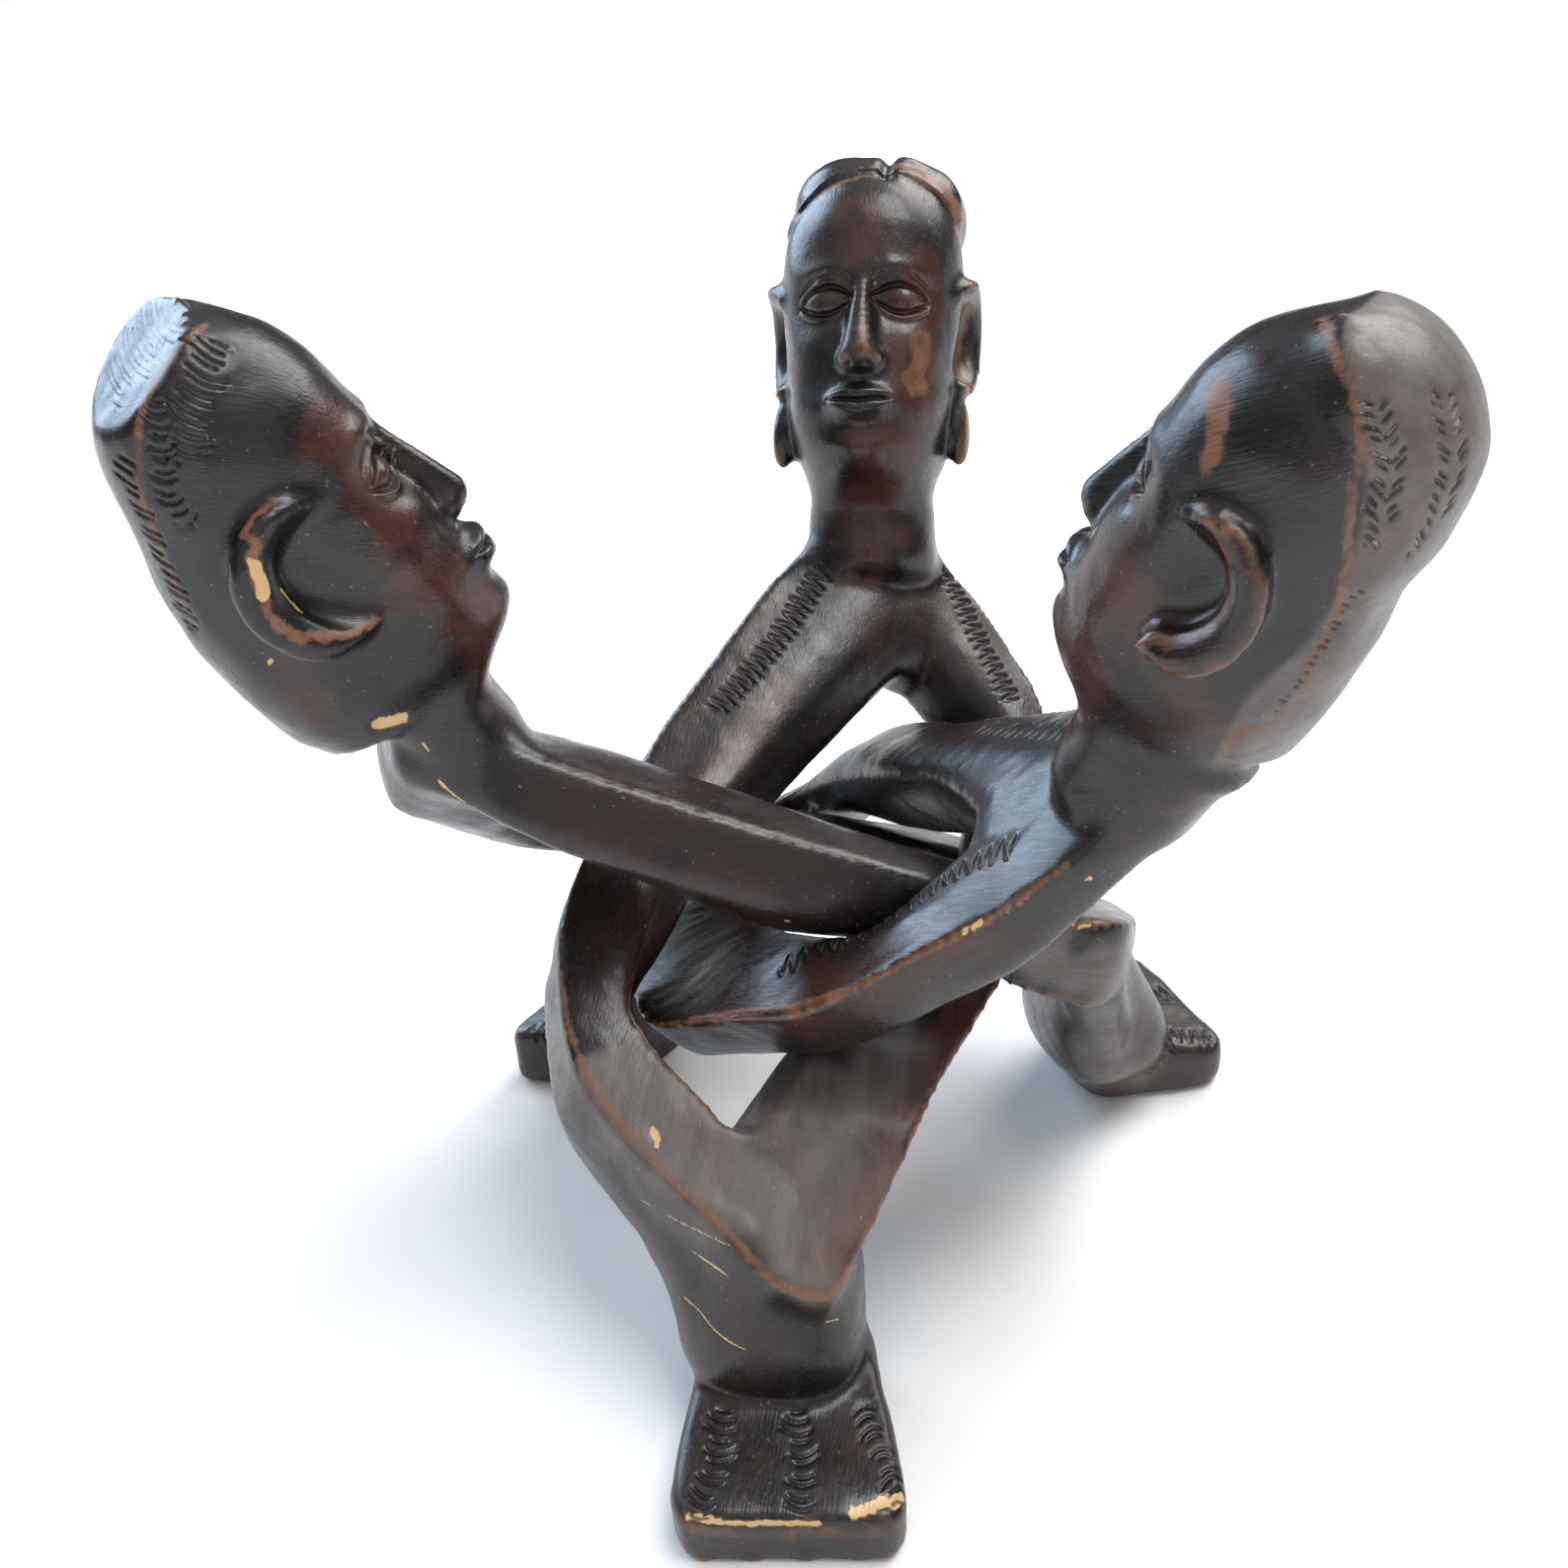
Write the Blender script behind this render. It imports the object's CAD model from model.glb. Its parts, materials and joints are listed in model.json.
"""Three carved wooden figures that interlock into a tripod stand, dressed in dark waxed wood.

Each figure is one piece of wood. Its head, body, leg and foot are surfaces worked out on
grids, grown together into one skin, refined where the carving is fine, and then carved with
gouged bands, hair, chips and worn edges. Lengths are in millimetres until a mesh is made.
"""
import json
import logging
import math
from dataclasses import dataclass, field
from enum import Enum
from typing import Sequence

import bmesh
import bpy
import numpy as np
from mathutils import Matrix, Vector

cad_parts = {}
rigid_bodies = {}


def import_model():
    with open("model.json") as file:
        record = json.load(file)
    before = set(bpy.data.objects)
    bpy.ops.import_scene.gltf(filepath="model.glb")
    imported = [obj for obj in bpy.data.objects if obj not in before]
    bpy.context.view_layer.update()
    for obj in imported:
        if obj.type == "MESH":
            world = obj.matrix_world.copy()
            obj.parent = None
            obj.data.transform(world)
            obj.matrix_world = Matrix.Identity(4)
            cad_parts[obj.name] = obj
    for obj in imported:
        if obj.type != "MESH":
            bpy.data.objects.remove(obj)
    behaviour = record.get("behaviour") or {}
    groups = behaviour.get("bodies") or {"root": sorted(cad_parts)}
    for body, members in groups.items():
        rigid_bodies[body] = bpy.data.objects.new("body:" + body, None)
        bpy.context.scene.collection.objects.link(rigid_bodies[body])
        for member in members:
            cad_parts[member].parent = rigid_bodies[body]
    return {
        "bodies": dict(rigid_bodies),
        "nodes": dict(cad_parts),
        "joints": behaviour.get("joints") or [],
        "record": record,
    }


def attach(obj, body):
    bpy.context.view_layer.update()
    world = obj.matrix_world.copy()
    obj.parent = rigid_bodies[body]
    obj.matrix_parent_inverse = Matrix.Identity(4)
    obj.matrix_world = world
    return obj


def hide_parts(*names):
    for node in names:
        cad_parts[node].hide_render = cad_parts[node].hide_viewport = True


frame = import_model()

log = logging.getLogger("figure_stand")
Array = np.ndarray
Line = tuple[float, ...]

MILLIMETRE = 0.001
PHOTO_SIDE = 1588
MIDDLE = (-3.75, 6.73)


def curve(knots: Sequence[float], values: Array, x: Array) -> Array:
    """Smooth curve through values at rising knots, with no overshoot between them.

    Each span is a cubic whose slope at a knot is the harmonic mean of the slopes beside it.

    Args:
        knots: Places of the values, rising.
        values: Values whose last axis runs along the knots.
        x: Places to read, held to the range of the knots.

    Returns:
        The curve at x, with x's axes in place of the values' last axis.
    """
    k = np.asarray(knots, float)
    v = np.asarray(values, float)
    x = np.clip(np.asarray(x, float), k[0], k[-1])
    width = np.diff(k)
    rise = np.diff(v, axis=-1) / width
    before, after = rise[..., :-1], rise[..., 1:]
    total = np.where(before + after == 0, 1, before + after)
    inner = np.where(before * after > 0, 2 * before * after / total, 0)
    slope = np.concatenate([rise[..., :1], inner, rise[..., -1:]], axis=-1)
    i = np.clip(np.searchsorted(k, x, side="right") - 1, 0, len(k) - 2)
    s = (x - k[i]) / width[i]
    h = 1 - s
    bend = width[i] * (slope[..., i] * s * h * h - slope[..., i + 1] * s * s * h)
    return v[..., i] * h * h * (1 + 2 * s) + v[..., i + 1] * s * s * (1 + 2 * h) + bend


def through(values: Sequence[float], t: Array) -> Array:
    """Smooth curve through equally spaced values, read at t from 0 to 1."""
    return curve(np.linspace(0, 1, len(values)), np.asarray(values, float), t)


def ramp(start: float | Array, end: float | Array, x: Array) -> Array:
    """Smooth step: 0 at start, 1 at end, easing at both."""
    s = np.clip((x - start) / (end - start), 0, 1)
    return s * s * (3 - 2 * s)


def bump(x: Array, width: float) -> Array:
    """Bell curve: 1 at zero, falling away over the width."""
    return np.exp(-((x / width) ** 2))


def super_circle(cosine: Array, sine: Array, square: float | Array) -> Array:
    """Radius that turns a circle into a rounded square: 1 over the power mean of its sides."""
    return (np.abs(cosine) ** square + np.abs(sine) ** square) ** (-1 / square)


def ripple(places: Array, size: float, seed: int) -> Array:
    """Smooth wandering of about -1 to 1 over points: a sum of plane waves turned at random.

    Args:
        places: Points, the last axis holding their coordinates.
        size: Typical length of a wave.
        seed: Which pattern.

    Returns:
        One value for each point.
    """
    rng = np.random.default_rng(seed)
    waves = 9
    ways = rng.normal(size=(waves, places.shape[-1]))
    ways /= np.linalg.norm(ways, axis=1, keepdims=True)
    pace = 2 * np.pi / (size * rng.uniform(0.7, 1.6, waves))
    total = np.sin(places @ (ways * pace[:, None]).T + rng.uniform(0, 2 * np.pi, waves))
    return total.sum(-1) / math.sqrt(waves)


@dataclass
class Skin:
    """Closed shells gathered into one set of points and faces.

    Attributes:
        points: Blocks of points, each an array of rows by three.
        faces: Blocks of faces, as lists of point numbers.
        count: How many points are held.
    """

    points: list[Array] = field(default_factory=list)
    faces: list[list[list[int]]] = field(default_factory=list)
    count: int = 0

    def add_grid(self, grid: Array, loop: bool = False) -> None:
        """Adds a tube of rings, closed by a pole at each end or joined into a loop.

        Faces join ring i to ring i + 1 and place j to place j + 1, and wrap round.

        Args:
            grid: Points as rings by places by three.
            loop: Whether the last ring joins the first.
        """
        rings, places, _ = grid.shape
        number = np.arange(rings * places).reshape(rings, places) + self.count
        rows = number if loop else number[:-1]
        nexts = np.roll(number, -1, axis=0)
        nexts = nexts if loop else nexts[:-1]
        quads = np.stack(
            [rows, np.roll(rows, -1, axis=1), np.roll(nexts, -1, axis=1), nexts], axis=-1
        )
        faces = quads.reshape(-1, 4).tolist()
        points = [grid.reshape(-1, 3)]
        if not loop:
            poles = self.count + rings * places
            for pole, ring, flip in ((0, 0, True), (1, rings - 1, False)):
                points.append(grid[ring].mean(axis=0)[None])
                rim = number[ring]
                after = np.roll(rim, -1)
                pair = (after, rim) if flip else (rim, after)
                tip = np.full(places, poles + pole)
                faces += np.stack([*pair, tip], axis=-1).tolist()
        self.points.append(np.concatenate(points))
        self.faces.append(faces)
        self.count += sum(len(block) for block in points)

    def mesh(self, name: str) -> bpy.types.Mesh:
        """One mesh of all the shells, its faces turned outwards."""
        made = bpy.data.meshes.new(name)
        places = np.concatenate(self.points) * MILLIMETRE
        made.from_pydata(places.tolist(), [], [f for block in self.faces for f in block])
        work = bmesh.new()
        work.from_mesh(made)
        bmesh.ops.recalc_face_normals(work, faces=work.faces)
        work.to_mesh(made)
        work.free()
        return made


@dataclass(frozen=True)
class Outline:
    """The body's outline in the plank, at equal steps from neck to leg.

    Attributes:
        reach: Where the outer edges start and end along the plank.
        edge_left: How far the left outer edge lies to the left.
        edge_right: The same of the right outer edge.
        lift_left: How high the left outer edge stands.
        lift_right: The same of the right outer edge.
        slot_reach: Where the slot starts and ends along the plank.
        slot_left: How far the slot's left edge lies to the left.
        slot_right: The same of the slot's right edge.
    """

    reach: Line = (-137, 144)
    edge_left: Line = (20, 69, 86, 79, 50, 34)
    edge_right: Line = (-29, -50, -69, -81, -63, 14)
    lift_left: Line = (28, 25, 20, 13, 4, -24)
    lift_right: Line = (31, 9, -9, -23, -33, -24)
    slot_reach: Line = (-92, 113)
    slot_left: Line = (11, 53, 58, 47, 20, -4)
    slot_right: Line = (9, -21, -36, -49, -57, -12)

    def moved(self, **steps: Line) -> "Outline":
        """The outline with steps added to the named lines."""
        lines = {
            name: tuple(a + b for a, b in zip(getattr(self, name), step))
            for name, step in steps.items()
        }
        return Outline(**{**self.__dict__, **lines})

    def side(self, left: bool, t: Array) -> tuple[Array, Array]:
        """Places along and across of an outer edge at t from neck to leg."""
        start, end = self.reach
        values = self.edge_left if left else self.edge_right
        return start + (end - start) * t, through(values, t)

    def slot(self, left: bool, t: Array) -> tuple[Array, Array]:
        """Places along and across of a slot edge at t from neck to leg."""
        start, end = self.slot_reach
        values = self.slot_left if left else self.slot_right
        return start + (end - start) * t, through(values, t)

    def front(self, u: Array, v: Array) -> Array:
        """Height of the front, straight across between the outer edges' heights."""
        t = (u - self.reach[0]) / (self.reach[1] - self.reach[0])
        right = through(self.edge_right, t)
        wide = through(self.edge_left, t) - right
        low = through(self.lift_right, t)
        return low + (through(self.lift_left, t) - low) * (v - right) / wide


@dataclass(frozen=True)
class Plank:
    """The tilted body of one figure.

    Attributes:
        outline: Its outline.
        pitch: How steeply it falls towards the foot, in degrees.
        roll: How far it leans to the right, in degrees.
        centre: Where its middle is.
        thick: Thickness of the arms.
        thick_at_leg: Thickness where it runs into the leg.
        thin_at_neck: Share of the thickness that is missing at the neck.
        ridge: Height of the ridge along each arm.
        tilts: Rise of the front towards the slot, from neck to leg, on the right and the
            left arm.
        draft: How far the outer side leans in towards the back, from neck to leg.
        soft: Rounding of the back edges.
        under: How far the slot's wall is cut back under its edge on the right arm, on the
            left arm and at the leg. Below zero the wall leans into the slot.
        keel: Extra depth beside the slot, from neck to leg, on the right and the left arm.
        shoulder: How far the slot's edge is rounded down, on the right and the left arm.
        fade: Where along the body the arm's section turns into the leg's.
        steps: Sections along each side, and across the neck.
    """

    outline: Outline
    pitch: float
    roll: float
    centre: Line = (-3, -5, 147)
    thick: float = 29.5
    thick_at_leg: float = 50
    thin_at_neck: float = 0.25
    ridge: float = 3
    tilts: tuple[Line, Line] = ((5, 5), (-3, -3))
    draft: Line = (5, 5)
    soft: float = 5
    under: Line = (8, 18, -5)
    keel: tuple[Line, Line] = ((0, 0), (0, 0))
    shoulder: Line = (1, 1)
    fade: Line = (0.6, 0.85)
    steps: tuple[int, int] = (110, 22)

    @property
    def axes(self) -> Array:
        """Directions down the plank, to its left and out of its front, as rows."""
        pitch, roll = math.radians(self.pitch), math.radians(self.roll)
        down = np.array([math.cos(pitch), 0, -math.sin(pitch)])
        flat = np.array([math.sin(pitch), 0, math.cos(pitch)])
        side = np.array([0, 1, 0])
        left = side * math.cos(roll) - flat * math.sin(roll)
        out = side * math.sin(roll) + flat * math.cos(roll)
        return np.stack([down, left, out])

    def place(self, u: Array, v: Array, n: Array) -> Array:
        """Points in the figure from places along, across and out of the plank."""
        return np.stack(np.broadcast_arrays(u, v, n), axis=-1) @ self.axes + self.centre

    def read(self, points: Array) -> tuple[Array, Array, Array]:
        """Places along, across and out of the plank of points in the figure."""
        found = (points - self.centre) @ self.axes.T
        return found[..., 0], found[..., 1], found[..., 2]

    def surface(self) -> Array:
        """The body as sections carried once round the slot.

        A section is a closed outline in the place across the wood and the depth: the front
        with its ridge, the hollowed wall of the slot, the flat back and the outer side. Its
        four runs are smooth curves through a few corners.

        Returns:
            Points as sections by places by three.
        """
        along, across = self.steps
        t = np.linspace(0, 1, along)
        grip = 0.03
        inner = grip + (1 - grip) * t
        right = [*self.outline.side(False, t), *self.outline.slot(False, inner)]
        left = [*self.outline.side(True, t), *self.outline.slot(True, inner)]
        q = np.linspace(0, 1, across + 1)[1:-1]
        neck = [b[0] + (a[0] - b[0]) * q for a, b in zip(right, left)]
        rows = [np.concatenate([a, b[::-1], c]) for a, b, c in zip(right, left, neck)]
        lean = np.concatenate([np.zeros(along), np.ones(along), 1 - q])
        t = np.concatenate([t, t[::-1], np.zeros(across - 1)])
        return self._sections([row[:, None] for row in rows], lean[:, None], t[:, None])

    def _across(self, lines: tuple[Line, Line], lean: Array, t: Array) -> Array:
        """Values of the right arm's line and the left arm's, shared by how far left a row is."""
        return through(lines[0], t) * (1 - lean) + through(lines[1], t) * lean

    def _sections(self, rows: list[Array], lean: Array, t: Array) -> Array:
        """Sections between the outer edge and the slot edge held in rows."""
        edge_u, edge_v, slot_u, slot_v = rows
        width = np.hypot(slot_u - edge_u, slot_v - edge_v)
        thick = self.thick + (self.thick_at_leg - self.thick) * ramp(0.6, 1, t)
        thick = thick * (1 - self.thin_at_neck * (1 - ramp(0, 0.16, t)))
        carved = 1 - ramp(*self.fade, t)
        tilt = self._across(self.tilts, lean, t) * carved
        hollow = self.under[0] + (self.under[1] - self.under[0]) * lean
        under = hollow * carved + self.under[2] * (1 - carved)
        bevel = np.where(under < 0, 0.8, 0.35) * under
        keel = self._across(self.keel, lean, t)
        drop = (self.shoulder[0] * (1 - lean) + self.shoulder[1] * lean) * carved
        zero = np.zeros_like(width)
        draft = through(self.draft, t)
        corners = [
            (zero, 0, zero),
            (0.3 * width, 0.5, zero),
            (0.62 * width, 1, zero),
            (0.86 * width, 0.75, 0.3 * drop),
            (width, 0, drop),
            (width - bevel, 0, 0.45 * thick + drop),
            (width - 0.9 * under - self.soft, 0, 0.86 * thick + keel),
            (width - under - 2.5 * self.soft, 0, thick + keel),
            (draft + self.soft, 0, thick),
            (draft, 0, 0.9 * thick),
            (0.3 * draft, 0, 0.45 * thick),
            (zero, 0, zero),
        ]
        places = np.concatenate([c[0] for c in corners], axis=1)
        ridges = np.array([c[1] for c in corners]) + 0 * places
        depths = np.concatenate([c[2] for c in corners], axis=1)
        runs = ((0, 5, 26), (4, 8, 18), (7, 9, 10), (8, 12, 14))
        read: list[list[Array]] = [[], [], []]
        for first, last, count in runs:
            knots = np.arange(last - first)
            if first == 0:
                knots = np.array([0, 0.3, 0.62, 0.86, 1]) * 4
            x = np.linspace(knots[0], knots[-1], count, endpoint=False)
            for held, values in zip(read, (places, ridges, depths)):
                held.append(curve(knots, values[:, first:last], x))
        place, ridge, depth = (np.concatenate(parts, axis=1) for parts in read)
        share = place / width
        u = edge_u + (slot_u - edge_u) * share
        v = edge_v + (slot_v - edge_v) * share
        height = self.outline.front(u, v) + tilt * share + ridge * self.ridge * carved
        return self.place(u, v, height - depth)

    def cover(self, x: Array, y: Array) -> Array:
        """Height of the body's front above places on the ground, found by halving."""
        low = np.zeros(np.broadcast(x, y).shape)
        high = low + 160
        for _ in range(16):
            middle = (low + high) / 2
            u, v, n = self.read(np.stack(np.broadcast_arrays(x, y, middle), axis=-1))
            under = n < self.outline.front(u, v)
            low = np.where(under, middle, low)
            high = np.where(under, high, middle)
        return low


@dataclass(frozen=True)
class Leg:
    """The leg, widening upwards under the right arm, and the flat foot.

    Attributes:
        sections: Rows of height, back right, back left, front, right side at the back,
            right side at the front, left side.
        below: How far the leg stays below the body's front.
        heel: Where the heel ends.
        toe: Where the toe ends.
        heel_height: Height of the foot at the heel.
        toe_height: Height of the foot at the toe.
        widths: Width of the foot at heel and toe.
        middles: How far left its middle line lies at heel and toe.
        skew: How much further the toe reaches on the right.
        pull: How far the leg's front leans back on its way up.
        round: Rounding of the foot's edges.
        tuck: How far the leg's right side is drawn in at the ground.
        recess: How far the wall under the body stands back from its edge.
        heel_round: Share of the foot's length over which its heel is rounded.
        toe_round: The same of its toe, and how far the toe's corners are drawn in.
    """

    toe: float
    heel_height: float
    skew: float
    pull: float = 0
    sections: tuple[Line, ...] = (
        (4, 106, 104, 140, -36, -33, 16),
        (17, 98, 97, 142, -43, -35, 17),
        (30, 88, 90, 144, -54, -39, 18),
        (42, 80, 88, 143, -60, -36, 18),
        (56, 74, 90, 140, -64, -31, 18),
        (70, 71, 95, 136, -68, -25, 15),
        (82, 70, 101, 131, -71, -18, 6),
    )
    below: float = 5
    heel: float = 100
    toe_height: float = 21
    widths: Line = (57, 73)
    middles: Line = (-10, 1.5)
    round: float = 3
    tuck: float = 0
    recess: float = 0
    heel_round: float = 0.2
    toe_round: Line = (0.12, 5)

    def column(self, plank: Plank) -> Array:
        """The leg as rounded squares one above the other, kept under the body's front."""
        table = np.array(self.sections, float)
        z = np.linspace(table[0, 0], table[-1, 0], 40)
        rows = curve(table[:, 0], table[:, 1:].T, z)[..., None]
        back_right, back_left, ahead, right_back, right_front, left = rows
        right_back = right_back + self.tuck * ramp(45, 5, z[:, None])
        ahead = ahead - self.pull * ramp(20, 76, z[:, None])
        angle = np.linspace(0, 2 * np.pi, 56, endpoint=False)
        c, s = np.cos(angle), np.sin(angle)
        r = super_circle(c, s, 2.8)
        sideways, forward = (1 + r * s) / 2, (1 + r * c) / 2
        back = back_right + (back_left - back_right) * sideways
        right = right_back + (right_front - right_back) * forward
        x = back + (ahead - back) * forward
        y = right + (left - right) * sideways
        top = plank.cover(x, y) - self.below - (table[-1, 0] - z[:, None]) * 0.02
        return np.stack([x, y, np.minimum(z[:, None], top)], axis=-1)

    def wall(self, plank: Plank) -> Array:
        """The wall that falls from the body's outer edge to the ankle.

        Its sections follow the edge from the right arm round the tip to the left side. Each
        runs from the edge down the body's own side, straight on to the leg, and back inside.

        Args:
            plank: The body.

        Returns:
            Points as sections by places by three.
        """
        right, left = np.linspace(0.66, 1, 40), np.linspace(1, 0.86, 16)
        ends = [plank.outline.side(side, np.array([1.0])) for side in (False, True)]
        q = np.linspace(0, 1, 12)[1:-1]
        tip = [a + (b - a) * q for a, b in zip(*ends)]
        runs = [plank.outline.side(False, right), tip, plank.outline.side(True, left)]
        u, v = (np.concatenate([run[i] for run in runs]) for i in (0, 1))
        t = np.concatenate([right, np.ones(len(q)), left])
        front = plank.outline.front(u, v)
        edge = plank.place(u, v, front - 0.4)
        out = np.array(plank.axes[2])
        heart = np.array([112, -18, 0])
        inwards = (heart - edge) * [1, 1, 0]
        inwards /= np.linalg.norm(inwards, axis=1, keepdims=True)
        thick = plank.thick + (plank.thick_at_leg - plank.thick) * ramp(0.6, 1, t)
        deep = thick * (0.85 - 0.55 * ramp(0.75, 1, t))
        side = edge - out * deep[:, None] + inwards * (0.5 * plank.draft[-1] + self.recess)
        edge = edge + inwards * self.recess - out * 0.4 * self.recess
        low = 78 - 42 * ramp(0.66, 0.9, t)
        low[-len(left):] = 36 + 30 * ramp(1, 0.86, left)
        turn = np.arctan2(edge[:, 1] - heart[1], edge[:, 0] - heart[0])
        foot = self.rim(turn, low)
        core = np.stack([heart[0] + 0 * low, heart[1] + 0 * low, low], axis=-1)
        inner = plank.place(u + (85 - u) * 0.5, v + (-18 - v) * 0.5, front - 12)
        return np.stack([edge, side, foot, core, inner], axis=1)

    def rim(self, turn: Array, height: Array) -> Array:
        """Points on the leg's side, a turn about its upright and a height each.

        Args:
            turn: Angles about the leg's middle.
            height: Heights above the ground.

        Returns:
            One point for each pair.
        """
        table = np.array(self.sections, float)
        back_right, back_left, ahead, right_back, right_front, left = curve(
            table[:, 0], table[:, 1:].T, height
        )
        ahead = ahead - self.pull * ramp(20, 76, height)
        c, s = np.cos(turn), np.sin(turn)
        r = super_circle(c, s, 2.8)
        sideways, forward = (1 + r * s) / 2, (1 + r * c) / 2
        back = back_right + (back_left - back_right) * sideways
        right = right_back + (right_front - right_back) * forward
        x = back + (ahead - back) * forward
        return np.stack([x, right + (left - right) * sideways, height], axis=-1)

    def foot(self) -> Array:
        """The foot as eight-cornered sections from heel to toe."""
        t = np.linspace(0, 1, 30)[:, None]
        half = (self.widths[0] + (self.widths[1] - self.widths[0]) * ramp(0.1, 0.9, t)) / 2
        half = half * np.sqrt(1 - 0.75 * np.maximum(1 - t / self.heel_round, 0) ** 2)
        share, drawn = self.toe_round
        half = half - drawn * (np.maximum(t - 1 + share, 0) / share) ** 2
        tall = self.heel_height + (self.toe_height - self.heel_height) * t
        side = np.array([-1, 1, 1, 1, 1, -1, -1, -1])
        inset = np.array([1, 1, 0, 0, 1, 1, 0, 0]) * self.round
        base = np.array([0, 0, 1, 0, 0, 0, 0, 1]) * self.round
        high = np.array([0, 0, 0, 1, 1, 1, 1, 0])
        drop = np.array([0, 0, 0, 1, 0, 0, 1, 0]) * self.round
        x = self.heel + (self.toe - self.heel) * t - side * self.skew * t / 2
        middle = self.middles[0] + (self.middles[1] - self.middles[0]) * t
        y = middle + side * (half - inset)
        return np.stack([x, y, base + high * tall - drop], axis=-1)


class Hair(Enum):
    """How a head's hair is carved."""

    LOBED = "two lobes over the brow"
    FLAT = "crown cut flat"
    ROUND = "round cap standing proud"


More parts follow.
